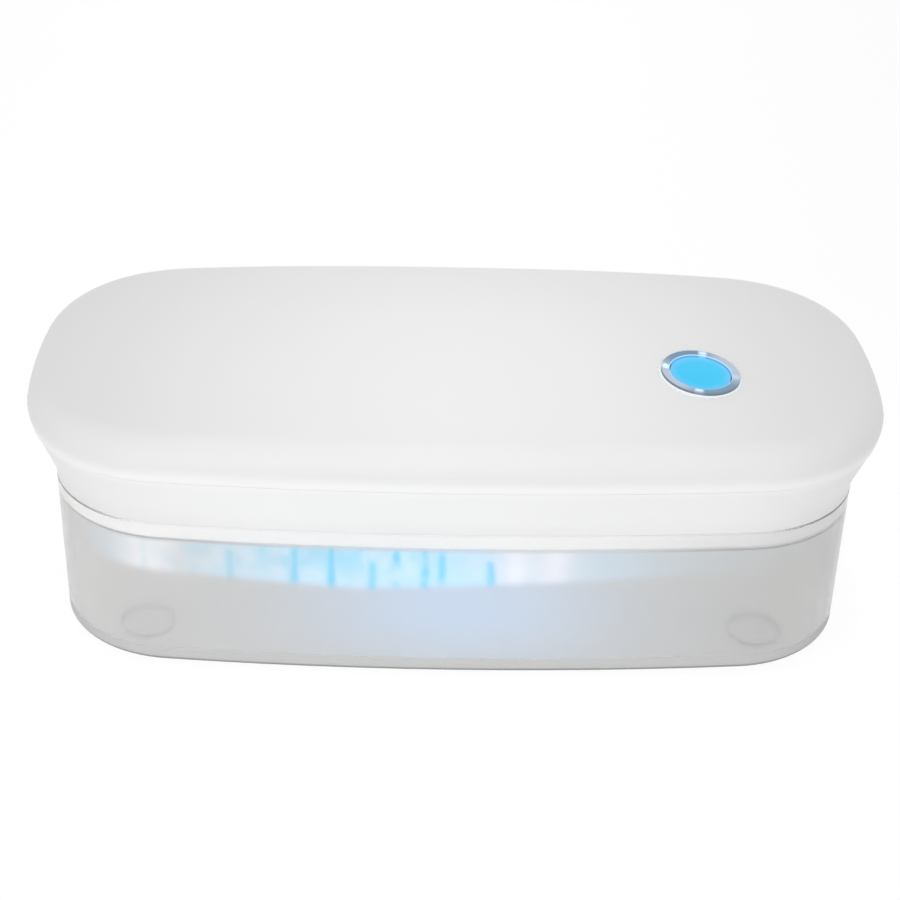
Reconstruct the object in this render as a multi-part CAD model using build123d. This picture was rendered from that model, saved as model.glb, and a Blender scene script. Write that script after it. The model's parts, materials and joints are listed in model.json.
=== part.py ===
from build123d import *
import math
import os

# Box with a lift-off lid that holds disinfecting lamps.
# Millimetres, +Z up, +X to the button's end, -Y to the front.
# The origin is on the resting surface, under the middle of the box.

# Outline of the lid seen from above: two bowed sides and two bowed ends, joined by round corners
LENGTH = 260.0
DEPTH = 130.0
SIDE_RADIUS = 980.0
END_RADIUS = 216.0
CORNER_RADIUS = 45.0
CORE_INSET = 26.0
CUT_MARGIN = 1.0

# Heights above the resting surface
FOOT_PROUD = 1.0
PARTING_Z = 50.8
SEAM_ABOVE_PARTING = 17.8
BULGE_ABOVE_SEAM = 4.2
EDGE_ROUND = 8.0
CROWN_RISE = 11.0

# Tub
TUB_WALL = 2.0
TUB_FLOOR = 2.2
TUB_DRAFT = 1.0
TUB_BOTTOM_ROUND = 3.0
TUB_INNER_BEVEL = 1.6
PARTING_BEVEL = 0.4

# Lid tray with its flared band and plate, and the ring that plugs into the tub
OVERHANG = 7.2
FLARE_START = 3.5
FLARE_OUT = 5.9
FLARE_ROUND = 14.0
TRAY_WALL = 2.2
PLATE = 2.2
LIP_CLEARANCE = 0.35
LIP_WALL = 1.8
LIP_DEPTH = 5.8
LIP_BEVEL = 0.5
RING_SEAT = 1.0
RING_FIT = 0.05

# Lid cover
COVER_WALL = 2.4
SEAM_GAP = 0.25
COVER_TUCK = 1.0
TONGUE_CLEARANCE = 0.2
TONGUE_WALL = 1.4
TONGUE_DEPTH = 2.6

# Screws between tray and cover
PILLAR_RADIUS = 4.2
PILLAR_HEIGHT = 12.0
PILLAR_END_INSET = 30.0
PILLAR_END_Y = 22.0
PILLAR_SIDE_INSET = 17.5
SCREW_HEAD_RADIUS = 2.7
SCREW_HEAD_HEIGHT = 1.8
SCREW_RADIUS = 1.4
SCREW_LENGTH = 14.0
SCREW_SPARE_DEPTH = 1.0
SCREW_PILOT_RADIUS = 1.45
SCREW_HOLE_CLEARANCE = 0.25
PILLAR_ROOF = 2.5
CAP_RADIUS = 3.3
CAP_THICKNESS = 1.6
CAP_CLEARANCE = 0.1

# Feet
FOOT_FROM_END = 35.3
FOOT_FROM_SIDE = 33.5
FOOT_RADIUS = 8.2
FOOT_THICKNESS = 1.7
FOOT_BEVEL = 0.5
FOOT_CLEARANCE = 0.15

# Magnet post in the tub, and the sensor over it
MAGNET_X = 22.0
MAGNET_RADIUS = 3.0
MAGNET_HEIGHT = 3.0
MAGNET_CLEARANCE = 0.1
MAGNET_POST_WALL = 1.5
POST_UNDER_LIP = 1.2
SENSOR_SIZE = (4.0, 1.6, 3.2)

# Button
BUTTON_FROM_END = 57.8
BUTTON_FROM_FRONT = 41.6
BUTTON_TRAVEL = 0.8
BUTTON_CLEARANCE = 0.3
LENS_RADIUS = 9.1
LENS_THICKNESS = 2.0
LENS_BELOW_BEZEL = 0.4
LENS_BEVEL = 0.5
BEZEL_RADIUS = 12.0
BEZEL_HEIGHT = 1.2
BEZEL_CROWN = 1.1
BEZEL_SHOULDER = 0.45
BEZEL_SLEEVE_WALL = 1.3
BEZEL_SLEEVE_DEPTH = 5.0
HALO_RADIUS = 12.5
HALO_THICKNESS = 0.9
HALO_PROUD = 0.25
FIT_CLEARANCE = 0.1
BODY_WALL = 1.2
STOP_FLANGE = 1.4
STOP_THICKNESS = 1.2
STOP_GAP = 0.05
PLUNGER_RADIUS = 1.5
PLUNGER_DROP = 1.0
STEM_RADIUS = 1.6
STEM_CLEARANCE = 0.3
STEM_SHOWS = 1.3
STEM_HIDDEN = 1.2
SWITCH_SIDE = 6.0
SWITCH_HEIGHT = 3.5
SWITCH_CORNER = 0.5
SWITCH_BOARD = (34.0, 15.0, 1.6)
SWITCH_POST_X = 14.0
SWITCH_POST_RADIUS = 2.4
BUTTON_LED = (2.0, 1.3, 0.8)
BUTTON_LED_RADIUS = 5.6

# Lamp board, lamps and windows
LAMP_BOARD_FROM_END = 32.0
LAMP_BOARD_WIDTH = 15.0
LAMP_BOARD_THICKNESS = 1.4
LAMP_COUNT = 4
LAMP_FROM_END = 30.0
LAMP_SIDE = 3.5
LAMP_HEIGHT = 0.9
GLOW_LAMP = (2.8, 1.4, 0.7)
GLOW_LAMP_X = 7.0
WINDOW_LENGTH = 25.0
WINDOW_WIDTH = 10.0
WINDOW_THICKNESS = 1.1
WINDOW_SEAT = 1.2
WINDOW_CLEARANCE = 0.15
REFLECTOR_THICKNESS = 0.4
REFLECTOR_GAP = 1.0

# Control board and what is on it
BOARD_LENGTH = 56.0
BOARD_WIDTH = 34.0
BOARD_THICKNESS = 1.6
BOARD_CORNER = 1.0
BOARD_X = 40.0
BOARD_TO_WALL = 0.9
STANDOFF_HEIGHT = 4.0
STANDOFF_RADIUS = 2.6
STANDOFF_INSET = 3.4
SMALL_SCREW_RADIUS = 1.0
SMALL_SCREW_LENGTH = 5.0
SMALL_HEAD_RADIUS = 1.9
SMALL_HEAD_HEIGHT = 1.2
CHIP = (9.0, 9.0, 1.2)
COIL_RADIUS = 4.0
COIL_HEIGHT = 4.2
COIL_BEVEL = 0.8
PLUG = (6.4, 5.2, 4.6)
PLUG_WALL = 0.8
PLUG_PITCH = 9.4
PLUG_FROM_EDGE = 1.0

# Charging socket
USB_WIDTH = 8.94
USB_HEIGHT = 3.26
USB_LENGTH = 7.4
USB_CORNER = 1.55
USB_WALL = 0.35
USB_RECESS = 0.9
USB_SLOT_CLEARANCE = 0.3
USB_TONGUE_THICKNESS = 0.7
USB_TONGUE_MARGIN = 0.8
USB_TONGUE_RECESS = 1.0

# Battery and its holder
CELL_RADIUS = 9.2
CELL_LENGTH = 65.0
CELL_CROWN_RADIUS = 3.0
CELL_CROWN_HEIGHT = 0.8
CELL_GROOVE = 0.5
CELL_GROOVE_HALF = 1.0
CELL_GROOVE_FROM_END = 4.0
HOLDER_TO_PILLAR = 9.0
HOLDER_Y = 29.0
HOLDER_WALL = 1.6
HOLDER_FLOOR = 1.2
HOLDER_SIDE_HEIGHT = 12.0
CELL_CLEARANCE = 0.2
CONTACT_THICKNESS = 0.5
CONTACT_WIDTH = 8.0

FOOT_X = LENGTH / 2 - FOOT_FROM_END
FOOT_Y = DEPTH / 2 - FOOT_FROM_SIDE
BUTTON_X = LENGTH / 2 - BUTTON_FROM_END
BUTTON_Y = BUTTON_FROM_FRONT - DEPTH / 2
LAMP_BOARD = (LENGTH - 2 * LAMP_BOARD_FROM_END, LAMP_BOARD_WIDTH, LAMP_BOARD_THICKNESS)
LAMP_PITCH = (LENGTH - 2 * LAMP_FROM_END) / LAMP_COUNT
HOLDER_LENGTH = CELL_LENGTH + 2 * (CONTACT_THICKNESS + CELL_CLEARANCE + HOLDER_WALL)
HOLDER_X = HOLDER_LENGTH / 2 + HOLDER_TO_PILLAR + PILLAR_RADIUS + PILLAR_END_INSET - LENGTH / 2
SEAM_Z = PARTING_Z + SEAM_ABOVE_PARTING
BULGE_Z = SEAM_Z + BULGE_ABOVE_SEAM
EDGE_Z = BULGE_Z + EDGE_ROUND
LIP_OUTER = OVERHANG + TUB_WALL + LIP_CLEARANCE
LIP_INNER = LIP_OUTER + LIP_WALL
LIP_BOTTOM = PARTING_Z - LIP_DEPTH
PLATE_TOP = PARTING_Z + PLATE
PILLAR_TOP = PLATE_TOP + PILLAR_HEIGHT
BOARD_Z = PLATE_TOP + STANDOFF_HEIGHT
FLARE_SLOPE = FLARE_OUT / (SEAM_ABOVE_PARTING - FLARE_START)


def corner_centre():
    """Centre of the corner arc at the rear of the button's end, where it touches both long arcs."""
    side_y = DEPTH / 2 - SIDE_RADIUS
    end_x = LENGTH / 2 - END_RADIUS
    to_side = SIDE_RADIUS - CORNER_RADIUS
    to_end = END_RADIUS - CORNER_RADIUS
    apart = math.hypot(end_x, side_y)
    along = (to_side**2 - to_end**2 + apart**2) / (2 * apart)
    across = math.sqrt(to_side**2 - along**2)
    toward_x, toward_y = end_x / apart, -side_y / apart
    return (
        toward_x * along + toward_y * across,
        side_y + toward_y * along - toward_x * across,
    )


def outline(inset):
    """Closed outline that runs at one inset inside the lid's rim."""
    side_y = DEPTH / 2 - SIDE_RADIUS
    end_x = LENGTH / 2 - END_RADIUS
    corner_x, corner_y = corner_centre()
    end_half = math.degrees(math.atan2(corner_y, corner_x - end_x))
    side_half = math.degrees(math.atan2(corner_x, corner_y - side_y))
    turn = 90 - end_half - side_half
    end_radius = END_RADIUS - inset
    side_radius = SIDE_RADIUS - inset
    corner_radius = CORNER_RADIUS - inset
    arcs = [
        CenterArc((end_x, 0), end_radius, 0, end_half),
        CenterArc((corner_x, corner_y), corner_radius, end_half, turn),
        CenterArc((0, side_y), side_radius, 90 - side_half, 2 * side_half),
        CenterArc((-corner_x, corner_y), corner_radius, 90 + side_half, turn),
        CenterArc((-end_x, 0), end_radius, 180 - end_half, 2 * end_half),
        CenterArc((-corner_x, -corner_y), corner_radius, 180 + end_half, turn),
        CenterArc((0, -side_y), side_radius, 270 - side_half, 2 * side_half),
        CenterArc((corner_x, -corner_y), corner_radius, 270 + side_half, turn),
        CenterArc((end_x, 0), end_radius, 360 - end_half, end_half),
    ]
    return Wire(arcs)


def band(corners):
    """Solid ring whose section has the given (inset, height, rounding) corners."""
    points = [(LENGTH / 2 - inset, height) for inset, height, _ in corners]
    section = make_face(Plane.XZ * Polyline(*points, close=True))
    for (x, z), (_, _, rounding) in zip(points, corners):
        if rounding > 0:
            corner = section.vertices().sort_by_distance((x, 0, z))[0]
            section = fillet(corner, rounding)
    return sweep(section, path=outline(0))


def slab(inset, low, high):
    """Flat plate with the box's outline, from one height to another."""
    return extrude(Pos(0, 0, low) * make_face(outline(inset)), high - low)


def crown_height(x, y, drop=0.0):
    """Height of the domed top over a point of the plan, lowered by a drop."""
    bow = (1 - (2 * x / LENGTH) ** 2) * (1 - (2 * y / DEPTH) ** 2)
    return EDGE_Z + CROWN_RISE * bow - drop


def under_crown(drop):
    """Block that fills the room below the domed top, lowered by a drop."""
    half_x = LENGTH / 2 + EDGE_ROUND
    half_y = DEPTH / 2 + EDGE_ROUND
    end_bow = 1 - (2 * half_x / LENGTH) ** 2
    side_bow = 1 - (2 * half_y / DEPTH) ** 2
    bows_x = (end_bow, 2 - end_bow, end_bow)
    bows_y = (side_bow, 2 - side_bow, side_bow)
    poles = [
        [
            Vector((i - 1) * half_x, (j - 1) * half_y, EDGE_Z - drop + CROWN_RISE * bows_x[i] * bows_y[j])
            for j in range(3)
        ]
        for i in range(3)
    ]
    return Solid.extrude(Face.make_bezier_surface(poles), Vector(0, 0, -EDGE_Z))


def back_inside(height, x):
    """Y of the tray's rear wall, on its inner face, at a height over the parting line."""
    flare = max(height - FLARE_START, 0) * FLARE_SLOPE
    sag = SIDE_RADIUS - math.sqrt(SIDE_RADIUS**2 - x**2)
    return DEPTH / 2 - OVERHANG - TRAY_WALL + flare - sag


BUTTON_Z = crown_height(BUTTON_X, BUTTON_Y)
BUTTON_SLOPE_X = -8 * CROWN_RISE * BUTTON_X / LENGTH**2 * (1 - (2 * BUTTON_Y / DEPTH) ** 2)
BUTTON_SLOPE_Y = -8 * CROWN_RISE * BUTTON_Y / DEPTH**2 * (1 - (2 * BUTTON_X / LENGTH) ** 2)
BUTTON_PLANE = Plane(
    origin=(BUTTON_X, BUTTON_Y, BUTTON_Z),
    x_dir=(1, 0, BUTTON_SLOPE_X),
    z_dir=(-BUTTON_SLOPE_X, -BUTTON_SLOPE_Y, 1),
)
BEZEL_BORE = LENS_RADIUS + BUTTON_CLEARANCE
SLEEVE_RADIUS = BEZEL_BORE + BEZEL_SLEEVE_WALL
STOP_Z = -BEZEL_SLEEVE_DEPTH - STOP_GAP
PLUNGER_Z = STOP_Z - STOP_THICKNESS - PLUNGER_DROP
SWITCH_TOP = PLUNGER_Z - STEM_SHOWS
SWITCH_BOARD_TOP = SWITCH_TOP - SWITCH_HEIGHT


def at_button(shape):
    """Put a shape drawn about the button's axis where the button is."""
    return BUTTON_PLANE.location * shape


def disc(radius, low, high):
    """Round solid about the Z axis between two heights."""
    return Pos(0, 0, low) * extrude(Circle(radius), high - low)


def turned(points):
    """Solid turned about the Z axis from a closed (radius, height) section."""
    return revolve(make_face(Plane.XZ * Polyline(*points, close=True)), Axis.Z)


def plate_at(size, x, y, low, corner=0.0):
    """Flat board of a given size, centred on a point of the plan."""
    length, width, thickness = size
    sketch = RectangleRounded(length, width, corner) if corner > 0 else Rectangle(length, width)
    return Pos(x, y, low) * extrude(sketch, thickness)


def pillar_places():
    """Plan positions of the screws that hold tray and cover together."""
    end_x = LENGTH / 2 - PILLAR_END_INSET
    side_y = DEPTH / 2 - PILLAR_SIDE_INSET
    places = [(side * end_x, front * PILLAR_END_Y) for side in (-1, 1) for front in (-1, 1)]
    places += [(0, -side_y), (0, side_y)]
    return places


def lamp_places():
    """X of each window along the lamp board."""
    first = -(LAMP_COUNT - 1) * LAMP_PITCH / 2
    return [first + i * LAMP_PITCH for i in range(LAMP_COUNT)]


def board_centre_y():
    """Y of the control board's middle, which keeps its rear edge clear of the wall."""
    corner_x = BOARD_X + BOARD_LENGTH / 2
    rear_edge = back_inside(BOARD_Z - PARTING_Z, corner_x) - BOARD_TO_WALL
    return rear_edge - BOARD_WIDTH / 2


def standoff_places():
    """Plan positions of the control board's screws."""
    reach_x = BOARD_LENGTH / 2 - STANDOFF_INSET
    reach_y = BOARD_WIDTH / 2 - STANDOFF_INSET
    centre_y = board_centre_y()
    return [(BOARD_X + i * reach_x, centre_y + j * reach_y) for i in (-1, 1) for j in (-1, 1)]


def foot_places():
    """Plan positions of the four feet."""
    return [(i * FOOT_X, j * FOOT_Y) for i in (-1, 1) for j in (-1, 1)]


def magnet_place():
    """Plan position of the magnet, against the tub's rear wall."""
    sag = SIDE_RADIUS - math.sqrt(SIDE_RADIUS**2 - MAGNET_X**2)
    wall_y = DEPTH / 2 - OVERHANG - TUB_WALL - TUB_DRAFT - sag
    return MAGNET_X, wall_y - MAGNET_RADIUS - MAGNET_POST_WALL / 2


def make_tub():
    """Frosted tub with a drafted wall, shallow seats for the feet and the magnet's post."""
    bottom = OVERHANG + TUB_DRAFT
    inner_bottom = bottom + TUB_WALL
    floor_top = FOOT_PROUD + TUB_FLOOR
    wall = band([
        (CORE_INSET, FOOT_PROUD, 0),
        (bottom, FOOT_PROUD, TUB_BOTTOM_ROUND),
        (OVERHANG, PARTING_Z - PARTING_BEVEL, 0),
        (OVERHANG + PARTING_BEVEL, PARTING_Z, 0),
        (OVERHANG + TUB_WALL - PARTING_BEVEL, PARTING_Z, 0),
        (OVERHANG + TUB_WALL, PARTING_Z - PARTING_BEVEL, 0),
        (inner_bottom, floor_top + TUB_INNER_BEVEL, 0),
        (inner_bottom + TUB_INNER_BEVEL, floor_top, 0),
        (CORE_INSET, floor_top, 0),
    ])
    tub = wall + slab(CORE_INSET, FOOT_PROUD, floor_top)
    magnet_x, magnet_y = magnet_place()
    post_top = LIP_BOTTOM - POST_UNDER_LIP
    post = disc(MAGNET_RADIUS + MAGNET_CLEARANCE + MAGNET_POST_WALL, FOOT_PROUD + TUB_FLOOR / 2, post_top)
    tub += Pos(magnet_x, magnet_y) * post
    pocket = disc(MAGNET_RADIUS + MAGNET_CLEARANCE, post_top - MAGNET_HEIGHT, post_top)
    tub -= Pos(magnet_x, magnet_y) * pocket
    for x, y in foot_places():
        tub -= Pos(x, y) * disc(FOOT_RADIUS + FOOT_CLEARANCE, 0, FOOT_THICKNESS)
    return tub


def make_tub_magnet():
    """Round magnet in the top of the post."""
    top = LIP_BOTTOM - POST_UNDER_LIP
    magnet = disc(MAGNET_RADIUS, top - MAGNET_HEIGHT, top)
    return Pos(*magnet_place()) * magnet


def make_rubber_feet():
    """Four round feet, glued into their seats under the floor."""
    foot = disc(FOOT_RADIUS, 0, FOOT_THICKNESS)
    foot = chamfer(foot.edges().sort_by(Axis.Z)[0], FOOT_BEVEL)
    return Compound([Pos(x, y) * foot for x, y in foot_places()])


def usb_centre():
    """Centre of the charging socket's mouth."""
    height = BOARD_Z - PARTING_Z + BOARD_THICKNESS + USB_HEIGHT / 2
    outer = back_inside(height, BOARD_X) + TRAY_WALL
    return BOARD_X, outer - USB_RECESS, PARTING_Z + height


def usb_block(grow, length):
    """Rounded bar of the socket's outline, grown by a clearance, along the Y axis."""
    width = USB_WIDTH + 2 * grow
    height = USB_HEIGHT + 2 * grow
    bar = extrude(RectangleRounded(width, height, USB_CORNER + grow), length)
    return Rot(90, 0, 0) * bar


def make_lid_tray():
    """Lower half of the lid: plate with the plug ring's groove, flared band, pillars and standoffs."""
    tray = band([
        (CORE_INSET, PARTING_Z, 0),
        (LIP_INNER + RING_FIT, PARTING_Z, 0),
        (LIP_INNER + RING_FIT, PARTING_Z + RING_SEAT, 0),
        (LIP_OUTER - RING_FIT, PARTING_Z + RING_SEAT, 0),
        (LIP_OUTER - RING_FIT, PARTING_Z, 0),
        (OVERHANG + PARTING_BEVEL, PARTING_Z, 0),
        (OVERHANG, PARTING_Z + PARTING_BEVEL, 0),
        (OVERHANG, PARTING_Z + FLARE_START, FLARE_ROUND),
        (OVERHANG - FLARE_OUT, SEAM_Z, 0),
        (OVERHANG - FLARE_OUT + TRAY_WALL, SEAM_Z, 0),
        (OVERHANG + TRAY_WALL, PARTING_Z + FLARE_START, 0),
        (OVERHANG + TRAY_WALL, PLATE_TOP, 0),
        (CORE_INSET, PLATE_TOP, 0),
    ])
    tray += slab(CORE_INSET, PARTING_Z, PLATE_TOP)
    head_seat = PILLAR_TOP - PILLAR_ROOF
    for x, y in pillar_places():
        pillar = disc(PILLAR_RADIUS, PARTING_Z, PILLAR_TOP)
        pillar -= disc(CAP_RADIUS, PARTING_Z, head_seat)
        pillar -= disc(SCREW_RADIUS + SCREW_HOLE_CLEARANCE, PARTING_Z, PILLAR_TOP)
        tray -= Pos(x, y) * disc(PILLAR_RADIUS, PARTING_Z, PLATE_TOP)
        tray += Pos(x, y) * pillar
    for x, y in standoff_places():
        standoff = disc(STANDOFF_RADIUS, PLATE_TOP, BOARD_Z)
        standoff -= disc(SMALL_SCREW_RADIUS, BOARD_Z - SMALL_SCREW_LENGTH + BOARD_THICKNESS, BOARD_Z)
        tray += Pos(x, y) * standoff
    for x in lamp_places():
        seat = SlotOverall(WINDOW_LENGTH, WINDOW_WIDTH)
        light = SlotOverall(WINDOW_LENGTH - 2 * WINDOW_SEAT, WINDOW_WIDTH - 2 * WINDOW_SEAT)
        tray -= Pos(x, 0, PARTING_Z) * extrude(seat, WINDOW_THICKNESS)
        tray -= Pos(x, 0, PARTING_Z) * extrude(light, PLATE)
    x, y, z = usb_centre()
    mouth = usb_block(USB_SLOT_CLEARANCE, 2 * USB_LENGTH)
    tray -= Pos(x, y + USB_LENGTH, z) * mouth
    return tray


def make_plug_ring():
    """Ring in the plate's groove whose lip reaches down into the tub."""
    return band([
        (LIP_INNER, PARTING_Z + RING_SEAT, 0),
        (LIP_INNER, LIP_BOTTOM + LIP_BEVEL, 0),
        (LIP_INNER - LIP_BEVEL, LIP_BOTTOM, 0),
        (LIP_OUTER + LIP_BEVEL, LIP_BOTTOM, 0),
        (LIP_OUTER, LIP_BOTTOM + LIP_BEVEL, 0),
        (LIP_OUTER, PARTING_Z + RING_SEAT, 0),
    ])


def make_lid_cover():
    """Upper half of the lid: rolled edge, domed top, tongue and screw bosses."""
    seam_inset = OVERHANG - FLARE_OUT
    bottom = SEAM_Z + SEAM_GAP
    top = EDGE_Z + CROWN_RISE + CUT_MARGIN
    rim = band([
        (CORE_INSET, bottom, 0),
        (COVER_TUCK, bottom, 0),
        (0, BULGE_Z, EDGE_ROUND),
        (0, top, 0),
        (CORE_INSET, top, 0),
    ])
    outer = (rim + slab(CORE_INSET, bottom, top)) & under_crown(0)
    edge = [e for e in outer.edges() if e.bounding_box().min.Z > BULGE_Z + EDGE_ROUND / 2]
    outer = fillet(edge, EDGE_ROUND)
    wall = COVER_WALL + COVER_TUCK
    corner = EDGE_Z - 2 * EDGE_ROUND + math.sqrt(2) * (EDGE_ROUND - COVER_WALL) + wall
    bevel = top - corner
    hollow_rim = band([
        (CORE_INSET, bottom, 0),
        (wall, bottom, 0),
        (wall, corner, 0),
        (wall + bevel, top, 0),
        (CORE_INSET, top, 0),
    ])
    inner = (hollow_rim + slab(CORE_INSET, bottom, top)) & under_crown(COVER_WALL)
    cover = outer - inner

    tongue_outer = seam_inset + TRAY_WALL + TONGUE_CLEARANCE
    tongue_low = SEAM_Z - TONGUE_DEPTH
    slant = TONGUE_DEPTH * FLARE_SLOPE
    in_wall = COVER_TUCK + COVER_WALL / 2
    cover += band([
        (in_wall, BULGE_Z, 0),
        (in_wall, bottom, 0),
        (tongue_outer, bottom, 0),
        (tongue_outer, SEAM_Z, 0),
        (tongue_outer + slant, tongue_low, 0),
        (tongue_outer + slant + TONGUE_WALL, tongue_low, 0),
        (tongue_outer + TONGUE_WALL, SEAM_Z, 0),
        (tongue_outer + TONGUE_WALL, BULGE_Z, 0),
    ])

    for x, y in pillar_places():
        boss = Pos(x, y) * disc(PILLAR_RADIUS, PILLAR_TOP, top)
        boss &= under_crown(COVER_WALL / 2)
        cover += boss
        pilot_top = PILLAR_TOP - PILLAR_ROOF + SCREW_LENGTH + SCREW_SPARE_DEPTH
        cover -= Pos(x, y) * disc(SCREW_PILOT_RADIUS, PILLAR_TOP, pilot_top)
    for side in (-1, 1):
        post = disc(SWITCH_POST_RADIUS, SWITCH_BOARD_TOP, -COVER_WALL / 2)
        post -= disc(SMALL_SCREW_RADIUS, SWITCH_BOARD_TOP, SWITCH_BOARD_TOP + SMALL_SCREW_LENGTH)
        cover += at_button(Pos(side * SWITCH_POST_X, 0) * post)
    sleeve_hole = disc(SLEEVE_RADIUS + FIT_CLEARANCE, -BEZEL_SLEEVE_DEPTH, BEZEL_HEIGHT)
    halo_seat = disc(HALO_RADIUS + FIT_CLEARANCE, HALO_PROUD - HALO_THICKNESS, BEZEL_HEIGHT)
    return cover - at_button(sleeve_hole) - at_button(halo_seat)


def make_button_bezel():
    """Bright ring with a rounded flange and a sleeve that guides the button."""
    section = [
        (BEZEL_BORE, -BEZEL_SLEEVE_DEPTH),
        (SLEEVE_RADIUS, -BEZEL_SLEEVE_DEPTH),
        (SLEEVE_RADIUS, HALO_PROUD),
        (BEZEL_RADIUS, HALO_PROUD),
        (BEZEL_RADIUS, BEZEL_SHOULDER),
        (BEZEL_RADIUS - BEZEL_CROWN / 3, BEZEL_HEIGHT - BEZEL_CROWN / 4),
        (BEZEL_RADIUS - BEZEL_CROWN, BEZEL_HEIGHT),
        (BEZEL_BORE + BEZEL_CROWN / 2, BEZEL_HEIGHT - BEZEL_CROWN / 4),
        (BEZEL_BORE, BEZEL_SHOULDER),
    ]
    return at_button(turned(section))


def make_button_light_ring():
    """Clear ring under the bezel's flange that shows as a fine halo."""
    ring = disc(HALO_RADIUS, HALO_PROUD - HALO_THICKNESS, HALO_PROUD)
    ring -= disc(SLEEVE_RADIUS + FIT_CLEARANCE, -HALO_THICKNESS, BEZEL_HEIGHT)
    return at_button(ring)


def make_button_lens():
    """Blue cap of the button, with a bevelled edge."""
    top = BEZEL_HEIGHT - LENS_BELOW_BEZEL
    lens = disc(LENS_RADIUS, top - LENS_THICKNESS, top)
    lens = chamfer(lens.edges().sort_by(Axis.Z)[-1], LENS_BEVEL / 2, LENS_BEVEL)
    return at_button(lens)


def make_button_body():
    """Cup under the lens with the stop flange and the plunger."""
    top = BEZEL_HEIGHT - LENS_BELOW_BEZEL - LENS_THICKNESS
    flange_low = STOP_Z - STOP_THICKNESS
    radius = LENS_RADIUS
    body = turned([
        (0, top),
        (radius, top),
        (radius, STOP_Z),
        (radius + STOP_FLANGE, STOP_Z),
        (radius + STOP_FLANGE, flange_low),
        (radius - BODY_WALL, flange_low),
        (radius - BODY_WALL, top - BODY_WALL),
        (PLUNGER_RADIUS, top - BODY_WALL),
        (PLUNGER_RADIUS, PLUNGER_Z),
        (0, PLUNGER_Z),
    ])
    return at_button(body)


def make_switch_stem():
    """Stem that the plunger presses into the switch."""
    return at_button(disc(STEM_RADIUS, SWITCH_TOP - STEM_HIDDEN, PLUNGER_Z))


def make_switch_housing():
    """Square body of the tact switch with a bore for its stem."""
    size = (SWITCH_SIDE, SWITCH_SIDE, SWITCH_HEIGHT)
    housing = plate_at(size, 0, 0, SWITCH_BOARD_TOP, SWITCH_CORNER)
    bore_low = SWITCH_TOP - STEM_HIDDEN - BUTTON_TRAVEL - STEM_CLEARANCE
    housing -= disc(STEM_RADIUS + STEM_CLEARANCE, bore_low, SWITCH_TOP)
    return at_button(housing)


def make_switch_board():
    """Small board on the cover's two posts, square to the button's axis."""
    thickness = SWITCH_BOARD[2]
    board = plate_at(SWITCH_BOARD, 0, 0, SWITCH_BOARD_TOP - thickness, BOARD_CORNER)
    for side in (-1, 1):
        hole = disc(SMALL_SCREW_RADIUS + FIT_CLEARANCE, SWITCH_BOARD_TOP - thickness, SWITCH_BOARD_TOP)
        board -= Pos(side * SWITCH_POST_X, 0) * hole
    return at_button(board)


def make_button_leds():
    """Small lamps round the switch that light the lens."""
    lamps = []
    for turn in range(45, 360, 90):
        lamp = plate_at(BUTTON_LED, BUTTON_LED_RADIUS, 0, SWITCH_BOARD_TOP)
        lamps.append(at_button(Rot(0, 0, turn) * lamp))
    return Compound(lamps)


def make_led_board():
    """Long metal-backed board that lies on the plate over the windows."""
    return plate_at(LAMP_BOARD, 0, 0, PLATE_TOP, BOARD_CORNER)


def make_uvc_leds():
    """One disinfecting lamp in the middle of each window."""
    size = (LAMP_SIDE, LAMP_SIDE, LAMP_HEIGHT)
    return Compound([plate_at(size, x, 0, PLATE_TOP - LAMP_HEIGHT) for x in lamp_places()])


def make_glow_leds():
    """Two visible blue lamps beside each disinfecting lamp."""
    lamps = []
    for x in lamp_places():
        for side in (-1, 1):
            lamps.append(plate_at(GLOW_LAMP, x + side * GLOW_LAMP_X, 0, PLATE_TOP - GLOW_LAMP[2]))
    return Compound(lamps)


def make_led_windows():
    """Clear windows, let into the underside of the plate."""
    length = WINDOW_LENGTH - 2 * WINDOW_CLEARANCE
    width = WINDOW_WIDTH - 2 * WINDOW_CLEARANCE
    window = extrude(SlotOverall(length, width), WINDOW_THICKNESS)
    return Compound([Pos(x, 0, PARTING_Z) * window for x in lamp_places()])


def make_reflector_plate():
    """Bright sheet under the plate, inside the lip, open at the windows and screws."""
    low = PARTING_Z - REFLECTOR_THICKNESS
    sheet = slab(LIP_INNER + REFLECTOR_GAP, low, PARTING_Z)
    light = SlotOverall(WINDOW_LENGTH - WINDOW_SEAT, WINDOW_WIDTH - WINDOW_SEAT)
    for x in lamp_places():
        sheet -= Pos(x, 0, low) * extrude(light, REFLECTOR_THICKNESS)
    for x, y in pillar_places():
        sheet -= Pos(x, y) * disc(CAP_RADIUS + CAP_CLEARANCE, low, PARTING_Z)
    return sheet


def make_lid_screws():
    """Screws that go up through the tray's pillars into the cover's bosses."""
    seat = PILLAR_TOP - PILLAR_ROOF
    screw = disc(SCREW_HEAD_RADIUS, seat - SCREW_HEAD_HEIGHT, seat)
    screw += disc(SCREW_RADIUS, seat, seat + SCREW_LENGTH)
    return Compound([Pos(x, y) * screw for x, y in pillar_places()])


def make_screw_caps():
    """Soft plugs that close the screw holes flush with the plate."""
    cap = disc(CAP_RADIUS - CAP_CLEARANCE, PARTING_Z, PARTING_Z + CAP_THICKNESS)
    return Compound([Pos(x, y) * cap for x, y in pillar_places()])


def make_main_board():
    """Control board on the tray's standoffs."""
    size = (BOARD_LENGTH, BOARD_WIDTH, BOARD_THICKNESS)
    board = plate_at(size, BOARD_X, board_centre_y(), BOARD_Z, BOARD_CORNER)
    for x, y in standoff_places():
        hole = disc(SMALL_SCREW_RADIUS + FIT_CLEARANCE, BOARD_Z, BOARD_Z + BOARD_THICKNESS)
        board -= Pos(x, y) * hole
    return board


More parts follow.
